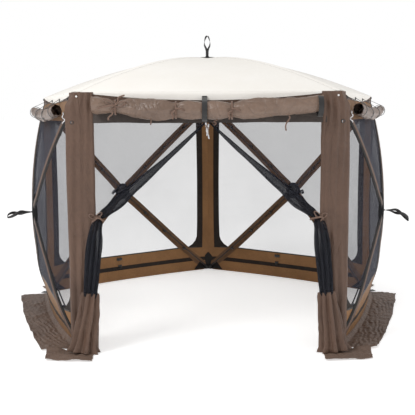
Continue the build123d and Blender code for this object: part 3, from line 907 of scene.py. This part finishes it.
# ---------------------------------------------------------------- eave: cream edge and brown band
def sagged(x):
    """Height of the seam between the cream roof and the brown band."""
    return EAVE - EAVE_SAG * max(0.0, 1 - (x / SIDE_HALF) ** 2)


def eave_out(y):
    return 0.0175 + 0.05 * (EAVE - y)


def cream_edge():
    def place(u, v):
        x = mix(-SIDE_HALF, SIDE_HALF, u)
        y = mix(EAVE + 0.001, sagged(x), v)
        wave = 0.002 * fbm(x * 5, y * 5, 2.0) * v
        return vec(x, y, eave_out(y) + 0.0035 * smooth(v * 3) + wave)

    def flat(u, v):
        x = mix(-SIDE_HALF, SIDE_HALF, u)
        return x, v * max(0.004, EAVE - sagged(x))

    return grid(72, 8, place, flat)


def brown_band(foot, drop):
    def place(u, v):
        x = mix(-SIDE_HALF, SIDE_HALF, u) * (1.0 if v < 0.02 else 0.9995)
        y = mix(EAVE - 0.001, foot, v)
        pull = 0.004 * fbm(x * 6, y * 4, 4.0) * smooth(v * 2) if drop else 0.0008 * fbm(x * 8, y * 6, 4.0)
        hang = 0.006 * fbm(x * 4, 2.0, 6.0) * v if drop else 0.0
        return vec(x, y + hang, eave_out(y) + pull)

    return grid(90, 16 if drop else 5, place, lambda u, v: (mix(-SIDE_HALF, SIDE_HALF, u), v * (EAVE - foot)))


for side, degrees in SIDES.items():
    front = side == "front"
    matrix, foot = wall_matrix(degrees), BAND_LINE - 0.012 if front else SIDE_BAND_FOOT
    edge = shared_sheet("edge", f"cream_edge_{side}", matrix, cream_edge, [CREAM])
    name = f"eave_band_{side}"
    band = shared_sheet(("band", front), name, matrix, lambda: brown_band(foot, front), [BROWN])
    cloth(band, ROOT, ["eave_bands"])
    cloth(edge, ROOT)


HEADER_SHADOW_HALF, HEADER_SHADOW_TOP = 0.845, 1.735


def header_and_roll_shadow_strip():
    """The lower edge of the front band, which shows under the roll, in a dark colour that is partly the
    header cloth and partly the roll's painted shadow.
    """

    def place(u, v):
        x, y = mix(-HEADER_SHADOW_HALF, HEADER_SHADOW_HALF, u), mix(HEADER_SHADOW_TOP, BAND_LINE - 0.016, v)
        out = eave_out(y) + 0.006 + 0.003 * fbm(x * 7, y * 5, 8.0)
        return vec(x, y + 0.004 * fbm(x * 4, 2.0, 6.0) * v, out)

    return grid(80, 8, place, lambda u, v: (mix(-HEADER_SHADOW_HALF, HEADER_SHADOW_HALF, u), v * 0.091))


header_and_shadow = add_object("front_header_and_roll_shadow", *header_and_roll_shadow_strip(), [HEADER_AND_ROLL_SHADOW], matrix=wall_matrix(0))
cloth(header_and_shadow, ROOT)


def toggle():
    """A webbing tie with a small bar toggle above a sewn loop, on the room side of a bottom band."""
    at = vec(0.12, 0, 0)
    shapes = Parts()
    for y, wide, tall in ((0.218, 0.060, 0.026), (0.150, 0.040, 0.022)):
        n = wall_out(at.x, y) - 0.006
        line = []
        for k in range(9):
            x = at.x - wide / 2 + wide * k / 8
            line.append(vec(x, y + 0.002 * sin(k), n - 0.003 * sin(pi * k / 8)))
        shapes.add(ribbon(line, [-UP] * 9, tall, 0.003), WEBBING_BLACK)
    n = wall_out(at.x, 0.130) - 0.010
    bar = [vec(at.x - 0.016 + 0.008 * k, 0.128 + 0.001 * (k % 2), n) for k in range(5)]
    shapes.add(tube(bar, [0.003, 0.0052, 0.0048, 0.0052, 0.003], 14), PLASTIC)
    cord = [vec(at.x + 0.004 * sin(k), 0.148 - 0.0034 * k, n) for k in range(7)]
    shapes.add(tube(cord, 0.0018, 8), WEBBING_BLACK)
    return shapes


for wall, degrees in WALLS.items():
    piece = shared("toggle", f"toggle_{wall}", wall_matrix(degrees), lambda n, m: toggle().make(n, m))
    part(piece, f"panel_{wall}_bottom")


# ---------------------------------------------------------------- corner tapes and front posts
STRIP_HALF = 0.034


def fold_round(s, out, z):
    """A place on cloth folded round a corner: s from the fold, out from the walls, in corner space."""
    sign = -1 if s < 0 else 1
    wall = vec(cos(HALF_ANGLE), sign * sin(HALF_ANGLE), 0)
    along = vec(sin(HALF_ANGLE), -sign * cos(HALF_ANGLE), 0)
    p = wall * (HINGE + out) + along * ((HINGE + out) * tan(HALF_ANGLE) - abs(s))
    return vec(p.x, p.y, z)


def corner_strip():
    """The narrow cloth strip up a rear corner."""

    def place(u, v):
        z, s = mix(0.006, EAVE - 0.002, u), mix(-STRIP_HALF, STRIP_HALF, v)
        bulge = wall_out(SIDE_HALF - abs(s), min(max(z, 0.02), WALL_TOP)) - OFFSET
        return fold_round(s, 0.019 + 0.5 * max(0.0, bulge) + 0.0015, z)

    return grid(110, 40, place, lambda u, v: (mix(0, EAVE, u), mix(-STRIP_HALF, STRIP_HALF, v)))


GUSSET_TALL, GUSSET_HALF = 0.180, 0.185
REAR_CORNERS = ("right", "back", "left")
for corner in REAR_CORNERS:
    name, matrix = f"corner_strip_{corner}", turn_matrix(CORNERS[corner])
    tape = add_object(name, *corner_strip(), [BROWN_DARK], matrix=matrix)
    cloth(tape, ROOT, ["corner_posts"])


def corner_gusset():
    """A black triangle folded into a bottom corner on the room side, where the rods end."""

    def flat(u, v):
        return GUSSET_TALL * u, (2 * v - 1) * (GUSSET_HALF * (1 - u) + 0.010)

    def place(u, v):
        z, s = 0.012 + GUSSET_TALL * u, flat(u, v)[1]
        out = wall_out(SIDE_HALF - abs(s), z) - OFFSET + 0.010 + 0.0008 * fbm(z * 20, s * 20, 1.0)
        return fold_round(s, out, z)

    return grid(24, 40, place, flat)


for corner in REAR_CORNERS:
    name, matrix = f"corner_gusset_{corner}", turn_matrix(CORNERS[corner])
    gusset = add_object(name, *corner_gusset(), [BLACK_CLOTH], matrix=matrix)
    cloth(gusset, ROOT)


POST_INNER, POST_OUTER, POST_SHOULDER = 0.806, 1.010, 1.752
POST_FACE, POST_CLOTH = 0.037, 0.34


def post_outline(z):
    """Half a post seen from above: inner hem, broad front face, outer corner, then back to the side wall."""
    wing = smooth((EAVE - z) / (EAVE - POST_SHOULDER))
    outer = mix(0.957, POST_OUTER, wing)
    tuck = 0.010 * smooth((0.5 - z) / 0.5)
    return [
        vec(POST_INNER, 0.020), vec(POST_INNER + 0.006, POST_FACE - 0.006),
        vec(POST_INNER + 0.016, POST_FACE),
        vec(mix(POST_INNER, outer, 0.5), POST_FACE + 0.006 - tuck), vec(outer - 0.014, POST_FACE),
        vec(outer - 0.002, POST_FACE - 0.012), vec(mix(0.972, 1.004, wing), -0.030),
        vec(0.9985, -0.098),
    ]


def along_outline(points, share):
    lengths = [(b - a).length for a, b in zip(points, points[1:])]
    left = share * sum(lengths)
    for a, b, length in zip(points, points[1:], lengths):
        if left <= length or b is points[-1]:
            side = (b - a).normalized()
            return a.lerp(b, min(1.0, left / length)), vec(-side.y, side.x)
        left -= length


def front_post(sign):
    def place(u, v):
        z = mix(0.006, EAVE - 0.002, u)
        p, out = along_outline(post_outline(z), v)
        s = v * POST_CLOTH
        wander = 3.4 * fbm(s * 3.5, z * 0.9, sign * 4.0)
        fold = 0.0052 * sin(s * 118 + wander) * (0.55 + 0.45 * fbm(s * 5, z * 1.7, sign * 9.0))
        fold += 0.0040 * fbm(s * 11, z * 1.8, sign * 3.0) + 0.0007 * fbm(s * 34, z * 5.0, sign * 7.0)
        fold *= smooth(v * 14) * smooth((1 - v) * 9)
        p = p + out * fold
        edge = 0.006 * fbm(z * 2.3, sign * 2.0, 0.0) * (1 - smooth(v * 6))
        return vec(sign * (p.x + edge), z, p.y)

    return grid(170, 72, place, lambda u, v: (mix(0, EAVE, u), v * POST_CLOTH))


front_matrix = wall_matrix(0)
for sign, hand in HANDS:
    post = add_object(f"front_post_{hand}", *front_post(sign), [BROWN], matrix=front_matrix)
    cloth(post, ROOT, ["corner_posts"])


HOOK_X = 1.020
for sign, hand in HANDS:
    metalwork = Parts()
    rivet = [(0.0008, 0.0040), (0.0040, 0.0036), (0.0062, 0.0022), (0.0072, 0.0006), (0.0070, -0.0010)]
    metalwork.add(lathe(rivet, Matrix.Translation((sign * 0.922, 1.832, POST_FACE + 0.006)), 24), RIVET_WHITE)
    rim = Matrix.Translation((sign * 0.958, 1.650, POST_FACE + 0.004))
    metalwork.add(ring(0.0115, 0.0032, rim), PLASTIC)
    metalwork.add(ring(0.0075, 0.0018, rim), STEEL)
    hook = []
    for k in range(10):
        a = k * 0.9
        hook.append(vec(sign * (HOOK_X + 0.010 * sin(a)), 1.700 - 0.0065 * k, 0.020 + 0.008 * cos(a)))
    metalwork.add(tube(hook, 0.0035, 10), STEEL)
    eye = columns(UP, vec(0, 1, 0), vec(-1, 0, 0), vec(sign * HOOK_X, 1.712, 0.024))
    metalwork.add(ring(0.010, 0.0024, eye), STEEL)
    part(metalwork.make(f"post_metalwork_{hand}", front_matrix), ROOT)


# ---------------------------------------------------------------- rolled wind panels
def roll_shape(radius, turns, half, end_z, sag, reach, pinches, seed, lump):
    """A cloth panel rolled up into a spiral, pinched where straps and ties hold it."""
    inner = 0.012

    def place(u, v):
        x = mix(-half, half, u)
        theta = v * turns * 2 * pi
        pinch, crush = 1.0, 0.0
        for at, depth, width in pinches:
            near = exp(-(((x - at) / width) ** 2))
            pinch -= depth * near
            crush += depth * exp(-(((x - at) / (2.2 * width)) ** 2))
        loose = lump * fbm(x * 3.4, cos(theta) * 1.1, sin(theta) * 1.1 + seed)
        loose += 0.40 * lump * fbm(x * 9 + 2.5 * sin(theta), cos(theta) * 2.3, sin(theta) * 2.3 + seed)
        loose += 0.17 * crush * radius * sin(9 * theta + 5 * fbm(x * 6, seed, 0.0))
        pinch *= 1 - 0.16 * smooth((abs(x) / half - 0.45) / 0.5)
        r = (inner + (radius - inner) * v) * pinch + loose * v * (0.25 + 0.75 * pinch)
        sway = 0.006 * fbm(x * 2.6, seed, 0.0)
        drop = 0.006 * fbm(x * 2.2, seed + 4, 1.0)
        y = end_z - sag * (1 - (x / half) ** 2) + drop + sin(theta + 1.2) * r * 1.06
        return vec(x, y, reach + sway + cos(theta + 1.2) * r)

    total = turns * pi * (inner + radius)

    def flat(u, v):
        return (mix(-half, half, u), total * v * (inner + (radius - inner) * v / 2) / ((inner + radius) / 2))

    return grid(190, int(turns * 27), place, flat)


def tie_round(x, y, n, radius, width):
    """A narrow tape round a roll."""
    angles = [k * pi / 18 for k in range(37)]
    points = [vec(x, y + sin(a) * radius * 1.06, n + cos(a) * radius) for a in angles]
    return ribbon(points, [p - vec(x, y, n) for p in points], width)


def tape_end(start, drift, length, curl, width=0.012):
    """A loose end of tape that falls from a knot and curls."""
    points, normals = [], []
    for k in range(15):
        t = k / 14
        fall, sway = -length * t * (0.4 + 0.6 * t), 0.010 * sin(curl * t * 4)
        points.append(start + drift * t + vec(sway, fall, 0.012 * sin(curl + 3 * t)))
        normals.append(vec(0.5 * sin(curl + 2.4 * t), 0.1, 1.0))
    return ribbon(points, normals, width)


def bow(start, spread, tilt, width=0.012):
    """One loop of a bow."""
    points, normals = [], []
    for k in range(25):
        a = 2 * pi * k / 24
        far = (1 - cos(a)) / 2
        out = 0.010 * sin(a / 2) + 0.004 * sin(a)
        points.append(start + vec(spread * far, tilt * far + 0.016 * sin(a), out))
        normals.append(vec(0.3 * cos(a), copysign(0.8, sin(a) + 1e-6), 0.7))
    return ribbon(points, normals, width)


FRONT_ROLL = {"radius": 0.072, "half": 0.806, "end_z": 1.772, "sag": 0.044, "reach": 0.102}
side_pinches = [(x, 0.16, 0.035) for x in (-0.70, -0.24, 0.24, 0.70)]
front_pinches = [
    (-0.020, 0.10, 0.030), (0.785, 0.10, 0.030),
    (-0.64, 0.36, 0.075), (-0.22, 0.30, 0.060), (0.17, 0.26, 0.050),
]


def wind_roll(front):
    if not front:
        return roll_shape(0.046, 7.7, 0.790, 1.738, 0.034, 0.122, side_pinches, 4.0, 0.011)
    sizes = [FRONT_ROLL[key] for key in ("half", "end_z", "sag", "reach")]
    return roll_shape(FRONT_ROLL["radius"], 5.4, *sizes, front_pinches, 1.0, 0.019)


for side, degrees in SIDES.items():
    front = side == "front"
    name, matrix = f"wind_roll_{side}", wall_matrix(degrees)
    roll = shared_sheet(("roll", front), name, matrix, lambda: wind_roll(front), [SATIN])
    cloth(roll, ROOT, ["wind_panel_rolls"])


def front_roll_height(x):
    level = FRONT_ROLL["end_z"] - FRONT_ROLL["sag"] * (1 - (x / FRONT_ROLL["half"]) ** 2)
    return level + 0.006 * fbm(x * 2.2, 5.0, 1.0)


def add_tie(shapes, knot, bows, ends, width=0.012):
    """Adds a knot's bows, as (spread, tilt) pairs, and its loose ends, as (drift, length, curl) triples."""
    for spread, tilt in bows:
        shapes.add(bow(knot, spread, tilt, width), TAPE_BROWN)
    for drift, length, curl in ends:
        shapes.add(tape_end(knot, Vector(drift), length, curl), TAPE_BROWN)


BOWS = [(-0.075, 0.042), (0.080, 0.020)]
LONG_ENDS = [
    ((-0.115, 0.030, 0.010), 0.050, 1.0), ((0.060, 0.150, 0.012), 0.080, 2.0),
    ((-0.040, -0.040, 0.014), 0.060, 3.1),
]
SHORT_ENDS = [((0.050, 0.012, 0.006), 0.030, 0.6), ((-0.030, -0.030, 0.006), 0.045, 2.2)]
ROLL_TIES = (
    ("left", -0.64, 0.40, BOWS, LONG_ENDS),
    ("mid", -0.22, 0.30, [], SHORT_ENDS),
    ("right", 0.17, 0.26, [], SHORT_ENDS),
)
for name, x, depth, bows, ends in ROLL_TIES:
    y, n = front_roll_height(x), FRONT_ROLL["reach"] + 0.006 * fbm(x * 2.6, 1.0, 0.0)
    radius = FRONT_ROLL["radius"] * (1 - depth) + 0.007
    ties = Parts().add(tie_round(x, y, n, radius, 0.013), TAPE_BROWN)
    add_tie(ties, vec(x, y + 0.012, n + radius + 0.004), bows, ends)
    part(ties.make(f"roll_tie_{name}", front_matrix), ROOT)
for k, (x, drop) in enumerate(((-0.395, 0.050), (0.565, 0.105), (0.060, 0.040))):
    start = vec(x, front_roll_height(x) - 0.060, 0.112)
    tail = Parts().add(tape_end(start, vec(-0.012, 0, 0), drop, k + 0.5, 0.010), TAPE_BROWN)
    part(tail.make(f"hanging_tie_{k}", front_matrix), ROOT)


# ---------------------------------------------------------------- hubs and pull loops
def hub_patch(radius, rim, peak):
    """A round cloth patch drawn over the hub, from its peak down to a stitched rim."""
    profile = []
    for k in range(13):
        t = k / 12
        profile.append((0.001 + (radius * 0.90 - 0.001) * t, mix(peak, rim + 0.0012, t * (0.72 + 0.28 * t))))
    profile += [(radius * 0.93, rim + 0.0022), (radius * 0.985, rim + 0.0014)]
    profile += [(radius + 0.0016, rim - 0.0008), (radius + 0.0012, rim - 0.0030)]
    return lathe(profile, Matrix.Identity(4), 64)


LOOP_STEPS, LOOP_LIFT = 64, 0.0135


def pull_loop(length, bend, twist, spread):
    """A doubled webbing loop standing out along z, in hub space."""
    points, normals = [], []
    for k in range(LOOP_STEPS + 1):
        t = k / LOOP_STEPS
        a = 2 * pi * t
        far = (1 - cos(a)) / 2
        opened = sin(a) * (0.004 + spread * smooth((far - 0.2) / 0.4))
        z = length * far - 0.006 * cos(a)
        turn = twist * far
        points.append(vec(opened * sin(turn), opened * cos(turn) + bend * far**3, z))
        turned = vec(sin(turn), cos(turn), 0)
        if 0.06 < t < 0.94 and abs(t - 0.5) > 0.06:
            normals.append(turned * copysign(1.0, sin(a) + 1e-6))
        else:
            normals.append((UP if abs(t - 0.5) < 0.1 else -UP) + turned * sin(a) * 2.0)
    return points, normals


def add_hub(label, matrix, patch_radius, rim, peak, bend, twist, length, spread):
    patch = add_object(f"patch_{label}", *hub_patch(patch_radius, rim, peak), [PATCH], matrix=matrix)
    part(patch, f"hub_{label}")
    points, normals = pull_loop(length, bend, twist, spread)
    lift = Matrix.Translation((0, 0, peak + LOOP_LIFT))
    tape = ribbon(points, normals, 0.024, 0.0022)
    strap = add_object(f"pull_loop_{label}", *tape, [WEBBING_BLACK], matrix=matrix @ lift)
    part(strap, f"pull_strap_{label}", [f"pull_strap_{label}"])


for wall, degrees in WALLS.items():
    hub_at = wall_matrix(degrees) @ Matrix.Translation((0, HUB_Z, POP))
    bend = {"left": -0.030, "right": -0.072}.get(wall, -0.040)
    add_hub(wall, hub_at, 0.082, 0.0215, 0.0265, bend, 2.5, 0.184, 0.029)
crown_at = Matrix.Translation(CENTRE + UP * (ROOF_HINGE_Z + ROOF_POP))
add_hub("roof", crown_at, 0.080, 0.024, 0.0275, 0.006, 2.2, 0.165, 0.022)


# ---------------------------------------------------------------- door halves
DOOR_TOP = 1.655
TIE = vec(0.802, 0.975, -0.022)


def door_net(sign):
    """The smooth part of a tied-back half, from the band down to the tie."""
    top_in, top_out = vec(0.010, DOOR_TOP, -0.010), vec(0.865, DOOR_TOP, 0.006)
    low_in, low_out = TIE, vec(0.865, TIE.y, -0.004)

    def place(u, v):
        inner, outer = top_in.lerp(low_in, u), top_out.lerp(low_out, u)
        p = outer.lerp(inner, v)
        sag = 0.030 * sin(pi * u) * smooth(v * 1.4)
        p = p + vec(sag * 0.55, sag * -0.45, 0)
        billow = 0.020 * sin(pi * v) * sin(pi * min(1.0, u * 1.1))
        folds = 0.010 * smooth((v - 0.72) / 0.28) * sin(v * 70 + 2.0 * u)
        p.z += billow + folds * (0.3 + u)
        return vec(sign * p.x, p.y, p.z)

    return grid(70, 60, place, lambda u, v: (v * mix(0.86, 0.12, u), u * 0.70))


def folded(points, radii, folds, phase, squash=0.6, depth=0.30):
    """A gathered bundle: a fluted tube whose folds wander along it."""

    def shape(t, a):
        k = 1 + depth * sin(folds * a + phase + 2.5 * t) + 0.12 * fbm(3 * t, 2 * cos(a), phase + sin(a))
        return (k, k * squash)

    return tube(points, radii, 84, shape=shape)


def line_points(controls, steps):
    """A smooth line through a few named places."""
    points = []
    for k in range(steps + 1):
        t = k / steps * (len(controls) - 1)
        i = min(int(t), len(controls) - 2)
        f = t - i
        p0, p1 = controls[max(i - 1, 0)], controls[i]
        p2, p3 = controls[i + 1], controls[min(i + 2, len(controls) - 1)]
        square, cube = 2 * p0 - 5 * p1 + 4 * p2 - p3, 3 * p1 - p0 - 3 * p2 + p3
        points.append(0.5 * ((2 * p1) + (p2 - p0) * f + square * f * f + cube * f**3))
    return points


def profile(stops, steps):
    """Radii along a line from (share, radius) stops."""
    radii = []
    for k in range(steps + 1):
        t = k / steps
        for (a, ra), (b, rb) in zip(stops, stops[1:]):
            if a <= t <= b:
                radii.append(mix(ra, rb, smooth((t - a) / (b - a))))
                break
    return radii


def mirrored(sign, *places):
    return [vec(sign * x, y, n) for x, y, n in places]


GATHER_LINE = (
    (0.010, DOOR_TOP - 0.006, -0.012), (0.245, 1.432, -0.020), (0.520, 1.190, -0.026),
    (0.690, 1.040, -0.026), (0.800, 0.962, -0.012),
)
GATHER_WIDTHS = [(0, 0.005), (0.25, 0.014), (0.5, 0.027), (0.66, 0.038), (0.84, 0.028), (1, 0.014)]
BUNDLE_LINE = (
    (0.800, 0.975, -0.014), (0.800, 0.930, 0.030), (0.812, 0.820, 0.068),
    (0.832, 0.620, 0.084), (0.852, 0.385, 0.094),
)
BUNDLE_WIDTHS = [(0, 0.016), (0.08, 0.020), (0.30, 0.034), (0.60, 0.046), (0.82, 0.044), (1, 0.038)]
HEM_LINE = ((0.848, 0.430, 0.086), (0.862, 0.300, 0.098), (0.884, 0.150, 0.112), (0.902, 0.008, 0.132))
HEM_WIDTHS = [(0, 0.052), (0.15, 0.058), (0.5, 0.070), (0.8, 0.074), (1, 0.098)]


def gathered(sign, places, widths, steps, *folding):
    """A fluted bundle through named places, mirrored to one hand."""
    return folded(line_points(mirrored(sign, *places), steps), profile(widths, steps), *folding)


for sign, hand in HANDS:
    net = add_object(f"door_net_{hand}", *door_net(sign), [MESH], matrix=front_matrix)
    shape = gathered(sign, GATHER_LINE, GATHER_WIDTHS, 72, 7, sign, 0.60)
    edge = add_object(f"door_gather_{hand}", *shape, [MESH_FOLDS_SHADED], matrix=front_matrix)
    part(edge, ROOT, ["door_halves"])
    shape = gathered(sign, BUNDLE_LINE, BUNDLE_WIDTHS, 70, 8, sign + 2, 0.70)
    bundle = add_object(f"door_bundle_{hand}", *shape, [MESH_FOLDS_SHADED], matrix=front_matrix)
    part(bundle, ROOT, ["door_halves"])
    verts, faces, uvs = gathered(sign, HEM_LINE, HEM_WIDTHS, 56, 8, sign + 4.25, 0.70, 0.28)
    verts = [vec(v.x, max(v.y, 0.0015), v.z) for v in verts]
    hem = add_object(f"door_hem_{hand}", verts, faces, uvs, [BROWN], matrix=front_matrix)
    part(hem, ROOT, ["door_halves"])
    cloth(net, ROOT, ["door_halves"])
    knot = vec(sign * 0.806, 0.972, 0.030)
    tie_back = Parts()
    wrap = [vec(knot.x + 0.030 * cos(a), knot.y + 0.008 * sin(a * 2), 0.006 + 0.040 * sin(a))
            for a in (k * pi / 14 for k in range(29))]
    tie_back.add(ribbon(wrap, [q - vec(knot.x, knot.y, 0.006) for q in wrap], 0.013), TAPE_BROWN)
    add_tie(tie_back, knot + UP * 0.018, [(-sign * 0.048, 0.034), (sign * 0.044, 0.018)], [], 0.008)
    ends = [((-sign * 0.070, 0.015, 0.01), 0.040, 1.4), ((sign * 0.030, 0, 0.015), 0.110, 2.6)]
    add_tie(tie_back, knot + UP * 0.020, [], ends)
    part(tie_back.make(f"door_tie_{hand}", front_matrix), ROOT)


def zip_pull(x, y, n, swing, scale):
    """A zip slider with its ring and a hanging grip."""
    at = Matrix.Translation((x, y, n)) @ Matrix.Rotation(swing, 4, "Z")
    shapes = Parts()
    body = [at @ vec(0, -0.012 + 0.024 * k / 6, 0) for k in range(7)]
    shapes.add(tube(body, [0.0030, 0.0055, 0.0064, 0.0052, 0.0064, 0.0060, 0.0034], 16,
                    shape=lambda t, a: (1.0, 0.55)), STEEL)
    turned = at @ Matrix.Translation((0, -0.019, 0.003)) @ Matrix.Rotation(0.5, 4, "Y")
    shapes.add(ring(0.0065, 0.0012, turned, 24, 8), STEEL)
    grip = [at @ vec(0.001 * sin(k), -0.026 - 0.006 * k * scale, 0.004) for k in range(8)]
    shapes.add(tube(grip, [0.0014, 0.0036, 0.0044, 0.0040, 0.0044, 0.0046, 0.0040, 0.0018], 14,
                    shape=lambda t, a: (1.0, 0.45)), STEEL)
    return shapes


ZIP_PULLS = ((-0.012, 1.640, 0.10, 1.0), (0.006, 1.625, -0.15, 1.2), (-0.004, 1.590, 0.25, 0.9))
for k, (x, y, swing, scale) in enumerate(ZIP_PULLS):
    part(zip_pull(x, y, 0.030, swing, scale).make(f"zip_pull_{k}", front_matrix), ROOT)


# ---------------------------------------------------------------- ground skirts
def skirt(name, corners, matrix, seed, tabs, curve):
    """A cloth flap laid outward on the ground: near start, near end, far end and far start of its outline."""
    near_a, near_b, far_b, far_a = (vec(x, 0, n) for x, n in corners)

    def place(u, v):
        p = near_a.lerp(near_b, u).lerp(far_a.lerp(far_b, u), v)
        ragged = 0.012 * fbm(u * length * 3, 0.3, seed + 5) * smooth((v - 0.5) * 2)
        p = p + vec(0.008 * fbm(v * 4, u * 2, seed) * smooth(v * 2), 0, ragged)
        p.z += curve * max(0.0, 1 - (p.x / SIDE_HALF) ** 2) * (1 - 0.5 * v)
        s, t = u * length, v * depth
        calm = smooth(0.5 + 0.9 * fbm(s * 2.2, t * 4, seed + 9))
        wrinkle = sin(t * 150 + s * 22 + 5.5 * fbm(s * 5, t * 6, seed + 1))
        wave = 0.5 + 0.5 * sin(s * 17 + 4 * fbm(s * 3, t * 5, seed + 3))
        height = 0.004 + 0.012 * wave * abs(fbm(s * 4, t * 6, seed)) + 0.0026 * (1 + wrinkle) * calm
        height += 0.004 * abs(fbm(s * 12, t * 16, seed + 2))
        height *= 0.25 + 0.75 * smooth(v * 4)
        height += 0.026 * (1 - smooth(v * 6)) + 0.006 * smooth((v - 0.86) * 8) * wave
        clear = min((hypot(p.x - x, p.z - n) for x, n in tabs), default=1.0)
        height = mix(0.0008, height, smooth((clear - 0.045) / 0.08))
        return vec(p.x, height, p.z)

    length = (near_b - near_a).length
    depth = (far_a - near_a).length
    shape = grid(max(90, int(length * 120)), 64, place, lambda u, v: (u * length, v * depth))
    obj = add_object(name, *shape, [SKIRT], matrix=matrix)
    return cloth(obj, ROOT, ["ground_skirts"])


STAKE_RADIUS = 1.660
STAKE_OUT = STAKE_RADIUS * cos(HALF_ANGLE) - HINGE
STAKE_SIDE = STAKE_RADIUS * sin(HALF_ANGLE)
STAKES = [(-STAKE_SIDE, STAKE_OUT), (STAKE_SIDE, STAKE_OUT)]
for wall, degrees in WALLS.items():
    outline = ((-0.944, 0.020), (0.944, 0.020), (0.905, 0.290), (-0.905, 0.290))
    skirt(f"skirt_{wall}", outline, wall_matrix(degrees), degrees * 0.1, STAKES, FOOT_BULGE)
for sign, hand in HANDS:
    outline = ((sign * 0.826, 0.030), (sign * 1.176, 0.088), (sign * 1.146, 0.305), (sign * 0.812, 0.335))
    skirt(f"door_skirt_{hand}", outline, front_matrix, 30.0 + sign, STAKES, 0.0)


# ---------------------------------------------------------------- CAD nodes that keep their own shape
for node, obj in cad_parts.items():
    if node.startswith("hub_") or node == "corner_sockets":
        finish = PLASTIC
    elif node in ("roll_hangers", "stake_tabs"):
        finish = WEBBING_BLACK
    else:
        continue
    obj.data.materials.clear()
    obj.data.materials.append(finish)


# ---------------------------------------------------------------- floor, light and camera
REACH = 400.0
floor_data = bpy.data.meshes.new("floor")
floor_corners = [(x * REACH, y * REACH, 0) for x, y in ((-1, -1), (1, -1), (1, 1), (-1, 1))]
floor_data.from_pydata(floor_corners, [], [(0, 1, 2, 3)])
floor = link_object("floor", floor_data)
floor.location.z = -0.002
ground = Nodes("studio_floor")
ground.link(
    ground.ramp(ground.noise(0.6, 2.0), 0.3, 0.7, (0.80, 0.80, 0.80, 1), (0.83, 0.83, 0.83, 1)),
    ground.shader.inputs["Base Color"],
)
ground.shader.inputs["Roughness"].default_value = 0.9
ground.shader.inputs["Emission Color"].default_value = (1.0, 1.0, 1.0, 1.0)
ground.shader.inputs["Emission Strength"].default_value = 0.50
floor_data.materials.append(ground.material)

world = bpy.data.worlds.new("studio")
world.use_nodes = True
tree = world.node_tree
soft_light = tree.nodes["Background"]
soft_light.inputs["Color"].default_value = (1.0, 1.0, 1.0, 1.0)
soft_light.inputs["Strength"].default_value = 0.62
backdrop = tree.nodes.new("ShaderNodeBackground")
backdrop.inputs["Strength"].default_value = 1.0
backdrop.inputs["Color"].default_value = (1.0, 1.0, 1.0, 1.0)
seen = tree.nodes.new("ShaderNodeLightPath")
both = tree.nodes.new("ShaderNodeMixShader")
tree.links.new(seen.outputs["Is Camera Ray"], both.inputs[0])
tree.links.new(soft_light.outputs[0], both.inputs[1])
tree.links.new(backdrop.outputs[0], both.inputs[2])
tree.links.new(both.outputs[0], tree.nodes["World Output"].inputs["Surface"])
bpy.context.scene.world = world


def area_light(name, location, target, size, power):
    light = bpy.data.lights.new(name, "AREA")
    light.shape = "SQUARE"
    light.size = size
    light.energy = power
    obj = link_object(name, light)
    obj.location = location
    obj.rotation_euler = (Vector(target) - Vector(location)).to_track_quat("-Z", "Y").to_euler()


area_light("key", (-5.0, -5.0, 6.5), (0, 0, 0.9), 3.0, 330)
area_light("fill", (6.5, -2.5, 3.0), (0, 0, 0.9), 4.0, 110)

camera_data = bpy.data.cameras.new("camera")
camera_data.lens = 66.7
camera_data.sensor_width = 36.0
camera_data.clip_end = 1000.0
camera = link_object("camera", camera_data)
camera.location = (CENTRE.x, CENTRE.y - 6.79, 1.695)
camera.rotation_euler = (radians(90 - 6.83), radians(0.3), 0)
bpy.context.scene.camera = camera
bpy.context.scene.view_settings.view_transform = "Standard"
